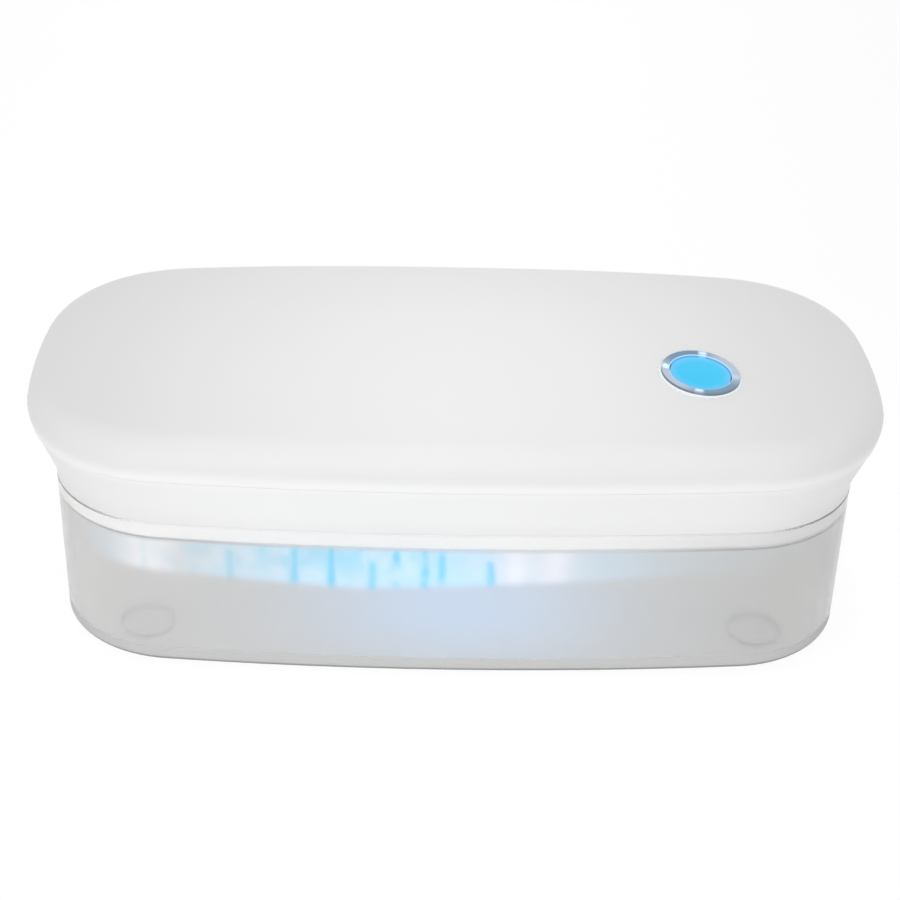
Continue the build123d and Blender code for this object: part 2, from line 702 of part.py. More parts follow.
def small_screw():
    """Screw for the boards, head up, with its head's underside at the origin."""
    return disc(SMALL_HEAD_RADIUS, 0, SMALL_HEAD_HEIGHT) + disc(SMALL_SCREW_RADIUS, -SMALL_SCREW_LENGTH, 0)


def make_board_screws():
    """Small screws of the control board and of the switch board."""
    top = BOARD_Z + BOARD_THICKNESS
    screws = [Pos(x, y, top) * small_screw() for x, y in standoff_places()]
    under = SWITCH_BOARD_TOP - SWITCH_BOARD[2]
    for side in (-1, 1):
        screws.append(at_button(Pos(side * SWITCH_POST_X, 0, under) * Rot(180, 0, 0) * small_screw()))
    return Compound(screws)


def make_control_chip():
    """Square controller in the middle of the board."""
    return plate_at(CHIP, BOARD_X, board_centre_y(), BOARD_Z + BOARD_THICKNESS)


def make_inductor():
    """Round coil of the lamp supply."""
    top = BOARD_Z + BOARD_THICKNESS
    coil = disc(COIL_RADIUS, top, top + COIL_HEIGHT)
    coil = chamfer(coil.edges().sort_by(Axis.Z)[-1], COIL_BEVEL)
    return Pos(BOARD_X + BOARD_LENGTH / 4, board_centre_y()) * coil


def make_wire_connectors():
    """Sockets for the leads of the battery, the lamps and the switch."""
    top = BOARD_Z + BOARD_THICKNESS
    length, width, height = PLUG
    mouth = (length - 2 * PLUG_WALL, width, height - 2 * PLUG_WALL)
    socket = plate_at(PLUG, 0, 0, 0) - plate_at(mouth, 0, -PLUG_WALL, PLUG_WALL)
    front = board_centre_y() - BOARD_WIDTH / 2 + PLUG_FROM_EDGE + width / 2
    return Compound([Pos(BOARD_X + i * PLUG_PITCH, front, top) * socket for i in (-1, 0, 1)])


def make_hall_sensor():
    """Sensor on the control board, over the tub's magnet."""
    top = BOARD_Z + BOARD_THICKNESS
    rear_edge = board_centre_y() + BOARD_WIDTH / 2
    return plate_at(SENSOR_SIZE, MAGNET_X, rear_edge - SENSOR_SIZE[1], top)


def make_usb_port():
    """Metal shell of the charging socket."""
    shell = usb_block(0, USB_LENGTH)
    hollow = usb_block(-USB_WALL, USB_LENGTH - USB_WALL)
    return Pos(*usb_centre()) * (shell - hollow)


def make_usb_tongue():
    """Contact tongue in the socket, on its rear wall."""
    width = USB_WIDTH - 2 * USB_WALL - 2 * USB_TONGUE_MARGIN
    length = USB_LENGTH - USB_WALL - USB_TONGUE_RECESS
    tongue = Box(width, length, USB_TONGUE_THICKNESS)
    x, y, z = usb_centre()
    return Pos(x, y - USB_TONGUE_RECESS - length / 2, z) * tongue


def cell_axis_z():
    """Height of the battery cell's axis."""
    return PLATE_TOP + HOLDER_FLOOR + CELL_CLEARANCE + CELL_RADIUS


def make_battery_cell():
    """Round cell with a rolled groove and a raised plus end."""
    half = CELL_LENGTH / 2
    body_end = half - CELL_CROWN_HEIGHT
    groove = body_end - CELL_GROOVE_FROM_END
    cell = turned([
        (0, -half),
        (CELL_RADIUS, -half),
        (CELL_RADIUS, groove - CELL_GROOVE_HALF),
        (CELL_RADIUS - CELL_GROOVE, groove),
        (CELL_RADIUS, groove + CELL_GROOVE_HALF),
        (CELL_RADIUS, body_end),
        (CELL_CROWN_RADIUS, body_end),
        (CELL_CROWN_RADIUS, half),
        (0, half),
    ])
    return Pos(HOLDER_X, HOLDER_Y, cell_axis_z()) * Rot(0, 90, 0) * cell


def make_battery_holder():
    """Open cradle with two end walls and two curved side walls."""
    width = 2 * (CELL_RADIUS + CELL_CLEARANCE + HOLDER_WALL)
    holder = plate_at((HOLDER_LENGTH, width, HOLDER_SIDE_HEIGHT), HOLDER_X, HOLDER_Y, PLATE_TOP)
    trough_length = HOLDER_LENGTH - 2 * HOLDER_WALL
    trough = Cylinder(CELL_RADIUS + CELL_CLEARANCE, trough_length, rotation=(0, 90, 0))
    return holder - Pos(HOLDER_X, HOLDER_Y, cell_axis_z()) * trough


def make_battery_contacts():
    """Two plated contact tabs against the ends of the cell."""
    reach = CELL_LENGTH / 2 + CELL_CLEARANCE / 2 + CONTACT_THICKNESS / 2
    height = HOLDER_SIDE_HEIGHT - HOLDER_FLOOR
    low = cell_axis_z() - height / 2
    size = (CONTACT_THICKNESS, CONTACT_WIDTH, height)
    return Compound([plate_at(size, HOLDER_X + i * reach, HOLDER_Y, low) for i in (-1, 1)])


NODES = {
    "tub": make_tub,
    "tub_magnet": make_tub_magnet,
    "rubber_feet": make_rubber_feet,
    "lid_tray": make_lid_tray,
    "plug_ring": make_plug_ring,
    "lid_cover": make_lid_cover,
    "button_bezel": make_button_bezel,
    "button_light_ring": make_button_light_ring,
    "button_lens": make_button_lens,
    "button_body": make_button_body,
    "switch_stem": make_switch_stem,
    "switch_housing": make_switch_housing,
    "switch_board": make_switch_board,
    "button_leds": make_button_leds,
    "led_board": make_led_board,
    "uvc_leds": make_uvc_leds,
    "glow_leds": make_glow_leds,
    "led_windows": make_led_windows,
    "reflector_plate": make_reflector_plate,
    "lid_screws": make_lid_screws,
    "screw_caps": make_screw_caps,
    "main_board": make_main_board,
    "board_screws": make_board_screws,
    "control_chip": make_control_chip,
    "inductor": make_inductor,
    "wire_connectors": make_wire_connectors,
    "hall_sensor": make_hall_sensor,
    "usb_port": make_usb_port,
    "usb_tongue": make_usb_tongue,
    "battery_cell": make_battery_cell,
    "battery_holder": make_battery_holder,
    "battery_contacts": make_battery_contacts,
}

os.makedirs("parts", exist_ok=True)
for name, make in NODES.items():
    export_step(make(), f"parts/{name}.step")
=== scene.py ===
"""Looks of the disinfection box: its finishes, the smooth trim of its button, the studio and the camera."""

from __future__ import annotations

import functools
import json
import logging
import math
from dataclasses import dataclass
from enum import Enum
from typing import Any, Mapping, Sequence, Union

import bpy
import numpy as np
from mathutils import Matrix, Vector

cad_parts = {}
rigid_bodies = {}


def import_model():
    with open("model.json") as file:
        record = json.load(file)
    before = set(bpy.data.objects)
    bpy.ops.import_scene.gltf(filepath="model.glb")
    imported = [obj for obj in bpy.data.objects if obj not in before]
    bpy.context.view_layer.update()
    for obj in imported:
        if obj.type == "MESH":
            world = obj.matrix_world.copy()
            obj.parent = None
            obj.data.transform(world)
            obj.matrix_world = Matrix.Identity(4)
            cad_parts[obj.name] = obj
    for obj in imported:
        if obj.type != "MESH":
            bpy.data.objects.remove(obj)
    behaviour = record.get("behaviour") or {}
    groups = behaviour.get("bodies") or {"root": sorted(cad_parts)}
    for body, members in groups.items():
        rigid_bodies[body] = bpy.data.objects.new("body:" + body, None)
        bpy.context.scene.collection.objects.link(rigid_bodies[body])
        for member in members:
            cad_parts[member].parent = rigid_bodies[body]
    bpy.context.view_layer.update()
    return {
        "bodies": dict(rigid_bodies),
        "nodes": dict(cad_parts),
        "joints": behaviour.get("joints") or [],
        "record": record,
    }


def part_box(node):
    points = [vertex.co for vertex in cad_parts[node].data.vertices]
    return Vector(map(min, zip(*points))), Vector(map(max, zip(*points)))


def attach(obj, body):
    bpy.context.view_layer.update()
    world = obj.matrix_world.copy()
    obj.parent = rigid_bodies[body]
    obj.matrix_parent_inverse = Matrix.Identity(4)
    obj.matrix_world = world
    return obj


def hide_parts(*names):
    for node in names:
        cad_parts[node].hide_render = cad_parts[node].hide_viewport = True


LOG = logging.getLogger("box")
MM = 0.001
BLACK = (0.0, 0.0, 0.0)
WHITE = (1.0, 1.0, 1.0)

Number = Union[float, "Term"]
Pair = tuple[float, float]
Point = tuple[float, float, float]
Colour = tuple[float, float, float]
Socket = bpy.types.NodeSocket


class Term:
    """A shader socket that takes part in Python expressions on numbers."""

    def __init__(self, shader: Shader, socket: Socket) -> None:
        """Keep the socket and the shader that it belongs to."""
        self.shader = shader
        self.socket = socket

    def math(self, operation: str, *values: Number) -> Term:
        """Add a Math node.

        Args:
            operation: The Math node's operation.
            values: The node's inputs, in order.

        Returns:
            The node's result.
        """
        inputs = dict(enumerate(values))
        made = self.shader.node("ShaderNodeMath", {"operation": operation}, inputs)
        return Term(self.shader, made.outputs[0])

    def __add__(self, other: Number) -> Term:
        """self + other."""
        return self.math("ADD", self, other)

    def __radd__(self, other: Number) -> Term:
        """other + self."""
        return self.math("ADD", other, self)

    def __sub__(self, other: Number) -> Term:
        """self - other."""
        return self.math("SUBTRACT", self, other)

    def __rsub__(self, other: Number) -> Term:
        """other - self."""
        return self.math("SUBTRACT", other, self)

    def __mul__(self, other: Number) -> Term:
        """self * other."""
        return self.math("MULTIPLY", self, other)

    def __rmul__(self, other: Number) -> Term:
        """other * self."""
        return self.math("MULTIPLY", other, self)

    def __truediv__(self, other: Number) -> Term:
        """self / other."""
        return self.math("DIVIDE", self, other)

    def __rtruediv__(self, other: Number) -> Term:
        """other / self."""
        return self.math("DIVIDE", other, self)

    def __pow__(self, other: Number) -> Term:
        """self to the power of other."""
        return self.math("POWER", self, other)

    def __neg__(self) -> Term:
        """The negative of self."""
        return self.math("MULTIPLY", self, -1.0)

    def __abs__(self) -> Term:
        """The size of self without its sign."""
        return self.math("ABSOLUTE", self)

    def largest(self, other: Number) -> Term:
        """The larger of self and other."""
        return self.math("MAXIMUM", self, other)

    def rise(self, low: float, high: float) -> Term:
        """Smooth step from 0 at low to 1 at high.

        Args:
            low: Value at which the step begins.
            high: Value at which the step ends; below low, the step falls instead.

        Returns:
            The step, between 0 and 1.
        """
        inputs = {"Value": self, "From Min": min(low, high), "From Max": max(low, high)}
        made = self.shader.node("ShaderNodeMapRange", {"interpolation_type": "SMOOTHSTEP"}, inputs)
        step = Term(self.shader, made.outputs["Result"])
        return 1 - step if low > high else step

    def span(self, low: float, high: float) -> Term:
        """Low where self is 0, high where it is 1."""
        return low + (high - low) * self

    def wave(self, length: float) -> Term:
        """Sine wave from -1 to 1 that repeats after a length."""
        return self.math("SINE", self * (math.tau / length))

    def bell(self, centre: float, width: float) -> Term:
        """Bell curve, exp of minus the square of the distance from the centre over the width."""
        away = (self - centre) / width
        return self.math("EXPONENT", -(away * away))


class Shader:
    """Builds one node material or the world."""

    def __init__(self, owner: Union[bpy.types.Material, bpy.types.World]) -> None:
        """Start an empty node tree.

        Args:
            owner: The material or the world that gets it.
        """
        owner.use_nodes = True
        self.tree = owner.node_tree
        self.tree.nodes.clear()

    def node(
        self,
        kind: str,
        settings: Mapping[str, Any] | None = None,
        inputs: Mapping[Union[str, int], Any] | None = None,
    ) -> bpy.types.Node:
        """Add a node.

        Args:
            kind: The node's type.
            settings: Its settings, set first.
            inputs: Values or links of its sockets, by name or number.

        Returns:
            The node.
        """
        made = self.tree.nodes.new(kind)
        for name, value in (settings or {}).items():
            setattr(made, name, value)
        for name, value in (inputs or {}).items():
            self.feed(made.inputs[name], value)
        return made

    def feed(self, socket: Socket, value: Any) -> None:
        """Link or set a socket.

        Args:
            socket: The input socket.
            value: A term or a socket to link, or the socket's own value.
        """
        if isinstance(value, Term):
            self.tree.links.new(value.socket, socket)
        elif isinstance(value, Socket):
            self.tree.links.new(value, socket)
        elif isinstance(value, tuple) and len(value) == 3 and socket.type == "RGBA":
            socket.default_value = (*value, 1.0)
        else:
            socket.default_value = value

    @functools.cached_property
    def point(self) -> Socket:
        """The surface point in the row frame, as one vector in metres."""
        return self.node("ShaderNodeTexCoord").outputs["Object"]

    @functools.cached_property
    def parts(self) -> tuple[Term, ...]:
        """The surface point's X, Y and Z."""
        split = self.node("ShaderNodeSeparateXYZ", None, {0: self.point})
        return tuple(Term(self, out) for out in split.outputs)

    @property
    def x(self) -> Term:
        """The surface point's X."""
        return self.parts[0]

    @property
    def y(self) -> Term:
        """The surface point's Y."""
        return self.parts[1]

    @property
    def z(self) -> Term:
        """The surface point's Z."""
        return self.parts[2]

    def upward(self) -> Term:
        """How far the side that the light meets faces up: 1 level, 0 upright, -1 facing down."""
        normal = self.node("ShaderNodeTexCoord").outputs["Normal"]
        return Term(self, self.node("ShaderNodeSeparateXYZ", None, {0: normal}).outputs[2])

    def within(self) -> Term:
        """1 where the light meets the surface from within the solid, else 0."""
        return Term(self, self.node("ShaderNodeNewGeometry").outputs["Backfacing"])

    def vector_math(self, operation: str, first: Any, second: Any) -> bpy.types.Node:
        """Add a Vector Math node on two vectors, each a link or a constant."""
        return self.node("ShaderNodeVectorMath", {"operation": operation}, {0: first, 1: second})

    def noise(self, size: float, detail: float = 2.0, stretch: Sequence[float] = (1, 1, 1)) -> Term:
        """Cloud pattern in space.

        Args:
            size: Size of its spots in metres.
            detail: Number of finer layers.
            stretch: How many times longer its spots are along each axis.

        Returns:
            The pattern, about 0.5 in the mean.
        """
        scale = [1 / s for s in stretch]
        moved = self.node("ShaderNodeMapping", None, {"Vector": self.point, "Scale": scale})
        inputs = {"Vector": moved.outputs[0], "Scale": 1 / size, "Detail": detail}
        return Term(self, self.node("ShaderNodeTexNoise", None, inputs).outputs[0])

    def blend(self, low: Any, high: Any, factor: Number) -> Socket:
        """Colour from low at factor 0 to high at factor 1, each a colour or a link."""
        made = self.node("ShaderNodeMix", {"data_type": "RGBA"}, {0: factor, 6: low, 7: high})
        return made.outputs[2]

    def greys(self, factor: Number, stops: Sequence[Pair]) -> Socket:
        """Grey from a ramp of stops.

        Args:
            factor: Place on the ramp, from 0 to 1.
            stops: Two or more places and their grey levels.

        Returns:
            The colour's socket.
        """
        made = self.node("ShaderNodeValToRGB", None, {0: factor})
        elements = made.color_ramp.elements
        while len(elements) < len(stops):
            elements.new(1.0)
        for element, (place, level) in zip(elements, stops):
            element.position = place
            element.color = (level, level, level, 1.0)
        return made.outputs[0]

    def bump(self, height: Term, depth: float) -> Socket:
        """Normal of a surface whose relief has the given height pattern and depth in metres."""
        return self.node("ShaderNodeBump", None, {"Height": height, "Distance": depth}).outputs[0]

    def principled(self, inputs: Mapping[str, Any]) -> Socket:
        """Surface of a Principled shader with the given inputs."""
        return self.node("ShaderNodeBsdfPrincipled", None, inputs).outputs[0]

    def mix(self, factor: Number, low: Any, high: Any) -> Socket:
        """Surface from low at factor 0 to high at factor 1."""
        return self.node("ShaderNodeMixShader", None, {0: factor, 1: low, 2: high}).outputs[0]

    def end(self, surface: Socket, output: str = "ShaderNodeOutputMaterial") -> None:
        """End the node tree with its surface."""
        self.node(output, None, {"Surface": surface})


@dataclass(frozen=True)
class Finish:
    """What every finish has: a name, a base colour and a fine grain that its surface follows."""

    name: str
    colour: Colour
    roughness: float
    roughness_change: float
    grain: float
    grain_depth: float
    index: float = 1.5

    @functools.cache
    def material(self) -> bpy.types.Material:
        """Make the finish's material, once for all equal finishes.

        Returns:
            The material.
        """
        made = bpy.data.materials.new(self.name)
        shader = Shader(made)
        shader.end(self.surface(shader))
        return made

    def surface(self, shader: Shader) -> Socket:
        """Surface of one Principled shader."""
        return shader.principled(self.inputs(shader))

    def inputs(self, shader: Shader) -> dict[str, Any]:
        """Inputs of the Principled shader: roughness and relief follow the grain.

        Args:
            shader: The material's shader.

        Returns:
            The inputs by name.
        """
        grain = self.pattern(shader)
        return {
            "Base Color": self.base(shader),
            "Roughness": self.roughness + self.roughness_change * (grain - 0.5),
            "Normal": shader.bump(grain, self.grain_depth),
            "IOR": self.index,
            **self.extras(shader),
        }

    def pattern(self, shader: Shader) -> Term:
        """The grain, about 0.5 in the mean."""
        return shader.noise(self.grain)

    def base(self, shader: Shader) -> Socket:
        """The base colour over the surface; each kind of finish has its own."""
        raise NotImplementedError

    def extras(self, shader: Shader) -> dict[str, Any]:
        """Inputs that this kind of finish adds."""
        return {}

    def times(self, share: float) -> Colour:
        """The base colour times a share."""
        return tuple(part * share for part in self.colour)


@dataclass(frozen=True)
class ShadedFinish(Finish):
    """Finish whose brightness changes slowly over the surface, by a share of it."""

    shade_size: float = 40 * MM
    unevenness: float = 0.02

    def base(self, shader: Shader) -> Socket:
        """The base colour with its slow changes."""
        return shader.blend(self.times(1 - self.unevenness), self.colour, shader.noise(self.shade_size))


@dataclass(frozen=True)
class MouldedPlastic(ShadedFinish):
    """Opaque moulded plastic with the fine grain of its mould."""

    roughness: float = 0.4
    roughness_change: float = 0.06
    grain: float = 0.35 * MM
    grain_depth: float = 0.004 * MM


@dataclass(frozen=True)
class ShellPlastic(MouldedPlastic):
    """Plastic of the lid's shells, with painted shade a little darker towards the ends and a painted
    highlight paler along the bead.
    """

    # Painted shade: the ends are a little darker. Painted highlight: a paler band along the bead.
    painted_end_shade: float = 0.975
    end_x: Pair = (60 * MM, 125 * MM)
    bead: Colour = (0.955, 0.955, 0.955)
    bead_height: Pair = (69.8 * MM, 2.0 * MM)

    def base(self, shader: Shader) -> Socket:
        """The plain colour, blended with the painted shade of the ends and the painted highlight of the
        bead.

        Args:
            shader: The material's shader.

        Returns:
            The colour's socket.
        """
        ends = abs(shader.x).rise(*self.end_x)
        plain = shader.blend(super().base(shader), self.times(self.painted_end_shade), ends)
        return shader.blend(plain, self.bead, shader.z.bell(*self.bead_height))


@dataclass(frozen=True)
class LampGlow:
    """Painted light of the lamps, standing in for their light scattered in the frosted tub.

    A painted lit band runs along the long walls under the lip. Its lower edge rises away from its middle,
    and it comes in blocks with broken lines of purer blue between them, some of the blocks white
    and some with cloudy patches of the lines' blue. A wide haze of painted light lies on the floor, and
    painted light makes the walls paler where they stand before the lip. The band, the patches, the haze
    and the white blocks have the middle and the width of a bell curve each. The white blocks' and the
    lines' places are in millimetres.
    """

    band_along: Pair = (-20 * MM, 68 * MM)
    band_low: float = 29.3 * MM
    band_bottom_x: float = -30 * MM
    band_slant: float = 0.05
    band_edge: float = 4 * MM
    band_wall: Pair = (40 * MM, 46 * MM)
    band_cloud: float = 8 * MM
    band_cloud_share: float = 0.5
    line_x_mm: tuple[float, ...] = (-92, -77.5, -66.5, -47.5, -36.5, -24.5, -17.5, -9, -4, 10.5)
    line_width: float = 1.6 * MM
    line_bend: float = 1.2 * MM
    line_bend_size: float = 14 * MM
    line_gap_size: float = 8 * MM
    line_gap_levels: Pair = (0.30, 0.55)
    line_fade: Pair = (-100 * MM, -40 * MM)
    line_faintest: float = 0.3
    patch_size: float = 9 * MM
    patch_levels: Pair = (0.42, 0.60)
    patch_strength: float = 0.62
    patch_along: Pair = (-42 * MM, 40 * MM)
    patch_height: Pair = (33 * MM, 42 * MM)
    patch_low_share: float = 0.35
    white_blocks_mm: tuple[Pair, ...] = ((-91, 12), (17, 5), (29, 8))
    white_strength: float = 0.8
    block_blue: Colour = (0.02, 0.12, 0.185)
    block_white: Colour = (0.17, 0.16, 0.17)
    line_blue: Colour = (0.0, 0.05, 0.13)
    # Painted light: the base colour on the band's lines takes this blue.
    painted_line_tint: Colour = (0.45, 0.92, 1.0)
    haze_blue: Colour = (0.0, 0.10, 0.24)
    haze_along: Pair = (3 * MM, 44 * MM)
    haze_across: Pair = (-22 * MM, 26 * MM)
    haze_strength: float = 0.56
    lip_low: float = 45.4 * MM
    lip_below: float = 1 * MM
    lip_above: float = 0.6 * MM
    lip_light: Colour = (0.052, 0.050, 0.048)
    lip_fade: Pair = (60 * MM, 125 * MM)
    lip_loss: float = 0.4

    def white(self, shader: Shader) -> Term:
        """Share of white light in the band."""
        return sum(shader.x.bell(middle * MM, width * MM) for middle, width in self.white_blocks_mm)

    def line(self, shader: Shader) -> Term:
        """Where the band has the lines' blue: on the bent and broken lines, and less in the patches.

        Args:
            shader: The material's shader.

        Returns:
            1 on the lines, 0 in the plain blocks.
        """
        bent = shader.x + self.line_bend * (shader.noise(self.line_bend_size) - 0.5)
        lines = sum(bent.bell(middle * MM, self.line_width) for middle in self.line_x_mm)
        whole = shader.noise(self.line_gap_size, 1.0).rise(*self.line_gap_levels)
        strength = shader.x.rise(*self.line_fade).span(self.line_faintest, 1.0)
        return (lines * whole * strength).largest(self.patches(shader))

    def patches(self, shader: Shader) -> Term:
        """Cloudy patches with a share of the lines' blue, most of it near the lip.

        Args:
            shader: The material's shader.

        Returns:
            The share.
        """
        cloud = shader.noise(self.patch_size, 1.0).rise(*self.patch_levels)
        along = shader.x.bell(*self.patch_along)
        height = shader.z.rise(*self.patch_height).span(self.patch_low_share, 1.0)
        return self.patch_strength * cloud * along * height

    def band(self, shader: Shader, white: Term) -> Term:
        """Strength of the lit band.

        Args:
            shader: The material's shader.
            white: Share of white light.

        Returns:
            The strength, from 0 to about 1.
        """
        low = self.band_low + self.band_slant * abs(shader.x - self.band_bottom_x)
        above = (shader.z - low).rise(0.0, self.band_edge)
        below = shader.z.rise(self.lip_low, self.lip_low - self.lip_below)
        wall = abs(shader.y).rise(*self.band_wall)
        along = shader.x.bell(*self.band_along).largest(self.white_strength * white)
        cloud = 1 + self.band_cloud_share * (shader.noise(self.band_cloud) - 0.5)
        return along * above * below * wall * cloud

    def haze(self, shader: Shader) -> Term:
        """Strength of the wide haze, a bell curve along X times one along Y."""
        return self.haze_strength * shader.x.bell(*self.haze_along) * shader.y.bell(*self.haze_across)

    def before_lip(self, shader: Shader) -> Term:
        """Share of the lip's painted light on the walls before it, less towards the button's end."""
        above = shader.z.rise(self.lip_low, self.lip_low + self.lip_above)
        return above * shader.x.rise(*self.lip_fade).span(1.0, 1 - self.lip_loss)

    def light(self, shader: Shader, band: Term, white: Term, line: Term) -> Socket:
        """Colour of the painted scattered light.

        Args:
            shader: The material's shader.
            band: Strength of the lit band.
            white: Share of white light in it.
            line: Where it has the lines' blue.

        Returns:
            The colour's socket.
        """
        blocks = shader.blend(self.block_blue, self.block_white, white)
        lit = shader.blend(BLACK, shader.blend(blocks, self.line_blue, line), band)
        hazy = shader.blend(lit, self.haze_blue, self.haze(shader))
        return shader.blend(hazy, self.lip_light, self.before_lip(shader))


@dataclass(frozen=True)
class FrostedPlastic(ShadedFinish):
    """See-through plastic with a fine frosting that blurs what is behind it."""

    roughness: float = 0.18
    roughness_change: float = 0.05
    grain: float = 0.5 * MM
    grain_depth: float = 0.006 * MM
    index: float = 1.46
    shade_size: float = 30 * MM
    clearness: float = 0.94

    def extras(self, shader: Shader) -> dict[str, Any]:
        """How much light it lets through."""
        return {"Transmission Weight": self.clearness}


@dataclass(frozen=True)
class FrostedTub(FrostedPlastic):
    """Frosted plastic of the tub, with painted shade and painted light: darker in the floor and towards the
    button's end, an opaque grey round the foot, and the lamps' painted light.

    The draft tells the walls' two sides apart: outside they face a little down, inside a little up.
    At the ends, a fine line of painted shade marks the lip's lower edge; it rises a little at the far end.
    """

    # Painted shade: the floor is darker where the shadow under the box shows through, and the walls are
    # darker towards the button's end.
    painted_floor_shade: float = 0.76
    floor_height: Pair = (3.2 * MM, 6.4 * MM)
    painted_end_shade: float = 0.875
    end_x: Pair = (20 * MM, 125 * MM)
    # Painted shade: a fine grey line where the lip's lower edge shows through the wall.
    painted_edge_shade: Colour = (0.42, 0.42, 0.43)
    edge_line_half: float = 0.4 * MM
    edge_line_x: Pair = (40 * MM, 100 * MM)
    edge_rise: float = 0.7 * MM
    draft_level: float = 0.01
    # Painted shade: greys by height round the foot, darkest at the bottom edge.
    painted_foot_greys: tuple[Pair, ...] = (
        (2.6 * MM, 0.34), (3.3 * MM, 0.60), (4.8 * MM, 0.63), (6.0 * MM, 0.615),
    )
    painted_foot_bottom: Pair = (1.2 * MM, 1.4 * MM)
    painted_foot_top: Pair = (7.4 * MM, 6.0 * MM)
    glow: LampGlow = LampGlow()

    def base(self, shader: Shader) -> Socket:
        """The plain colour, with painted shade: darker in the floor, where the shadow under the box shows
        through, and towards the button's end.
        """
        walls = shader.blend(super().base(shader), self.times(self.painted_end_shade), shader.x.rise(*self.end_x))
        return shader.blend(self.times(self.painted_floor_shade), walls, shader.z.rise(*self.floor_height))

    def outside(self, shader: Shader) -> Term:
        """1 on the outer side of the walls, 0 on every other side."""
        return shader.upward().rise(self.draft_level, -self.draft_level) * (1 - shader.within())

    def lip_line(self, shader: Shader) -> Term:
        """1 on the fine line of painted shade at the ends, 0 elsewhere."""
        height = shader.z - self.edge_rise * (-shader.x).rise(*self.edge_line_x)
        return height.bell(self.glow.lip_low, self.edge_line_half) * abs(shader.x).rise(*self.edge_line_x)

    def painted_foot_surface(self, shader: Shader, relief: Mapping[str, Any]) -> Socket:
        """Opaque grey surface of the foot, with painted shade that darkens it towards the bottom edge, by
        its height.

        Args:
            shader: The material's shader.
            relief: Inputs that it shares with the clear plastic.

        Returns:
            The surface's socket.
        """
        top = max(self.painted_foot_top)
        colour = shader.greys(shader.z / top, [(height / top, level) for height, level in self.painted_foot_greys])
        return shader.principled({"Base Color": colour, **relief, "Specular IOR Level": 0.0})

    def surface(self, shader: Shader) -> Socket:
        """Rough refraction with the lamps' painted light, mixed with the painted opaque grey round the
        foot.

        Args:
            shader: The material's shader.

        Returns:
            The surface's socket.
        """
        inputs = self.inputs(shader)
        white, line = self.glow.white(shader), self.glow.line(shader)
        band = self.glow.band(shader, white)
        outside = self.outside(shader)
        # Painted light: the base colour turns blue on the band's lines, and the emission carries the lamps'
        # light. Painted shade: a fine line at the lip's edge.
        lit = shader.blend(inputs["Base Color"], self.glow.painted_line_tint, band * line)
        inputs["Base Color"] = shader.blend(lit, self.painted_edge_shade, outside * self.lip_line(shader))
        inputs["Emission Color"] = self.glow.light(shader, band, white, line)
        inputs["Emission Strength"] = 1.0
        painted_foot_surface = self.painted_foot_surface(shader, {name: inputs[name] for name in ("Roughness", "Normal")})
        foot = outside * shader.z.rise(*self.painted_foot_bottom) * shader.z.rise(*self.painted_foot_top)
        return shader.mix(foot, shader.principled(inputs), painted_foot_surface)


@dataclass(frozen=True)
class ClearSilicone(FrostedPlastic):
    """Clear silicone of the feet, with painted shade: darker on its upright rim."""

    painted_rim_shade: float = 0.35
    rim_levels: Pair = (0.9, 0.4)

    def base(self, shader: Shader) -> Socket:
        """The plain colour, with painted shade where the surface stands upright."""
        upright = abs(shader.upward()).rise(*self.rim_levels)
        return shader.blend(super().base(shader), self.times(self.painted_rim_shade), upright)


@dataclass(frozen=True)
class PlatedMetal(ShadedFinish):
    """Bright metal with a fine brushed or polished surface."""

    roughness: float = 0.25
    roughness_change: float = 0.12
    grain: float = 0.3 * MM
    grain_depth: float = 0.003 * MM
    shade_size: float = 6 * MM
    unevenness: float = 0.06
    detail: float = 3.0
    stretch: Point = (1.0, 1.0, 1.0)

    def pattern(self, shader: Shader) -> Term:
        """The brushing, whose spots can be longer along one axis."""
        return shader.noise(self.grain, self.detail, self.stretch)

    def extras(self, shader: Shader) -> dict[str, Any]:
        """Metal all over."""
        return {"Metallic": 1.0}


@dataclass(frozen=True)
class SoftRubber(ShadedFinish):
    """Matt rubber or silicone with fine dots and a dusty sheen."""

    roughness: float = 0.75
    roughness_change: float = 0.1
    grain: float = 0.4 * MM
    grain_depth: float = 0.01 * MM
    shade_size: float = 5 * MM
    unevenness: float = 0.06
    sheen: float = 0.1

    def extras(self, shader: Shader) -> dict[str, Any]:
        """The sheen."""
        return {"Sheen Weight": self.sheen}


@dataclass(frozen=True)
class LitPlastic(Finish):
    """Plastic that is lit from behind: its light goes from a middle colour to an edge colour."""

    roughness: float = 0.2
    roughness_change: float = 0.04
    grain: float = 3 * MM
    grain_depth: float = 0.005 * MM
    centre: Point = (0.0, 0.0, 0.0)
    reach: float = 10 * MM
    edge: Colour | None = None
    edge_levels: Pair = (0.65, 1.05)
    edge_bend: float = 0.25
    strength: float = 1.0
    body_share: float = 1.0
    gloss: float = 0.5

    def light(self, shader: Shader, share: float) -> Socket:
        """A share of the light's colour, by the distance from the centre.

        Args:
            shader: The material's shader.
            share: The share.

        Returns:
            The colour's socket.
        """
        away = shader.vector_math("DISTANCE", shader.point, self.centre)
        distance = Term(shader, away.outputs["Value"]) / self.reach
        factor = (distance + self.edge_bend * (self.pattern(shader) - 0.5)).rise(*self.edge_levels)
        colours = (self.colour, self.edge or self.colour)
        low, high = (tuple(part * share for part in colour) for colour in colours)
        return shader.blend(low, high, factor)

    def base(self, shader: Shader) -> Socket:
        """The body's share of the light's colour."""
        return self.light(shader, self.body_share)

    def extras(self, shader: Shader) -> dict[str, Any]:
        """Its light, and how much it mirrors."""
        lit = {"Emission Color": self.light(shader, 1.0), "Emission Strength": self.strength}
        return {**lit, "Specular IOR Level": self.gloss}


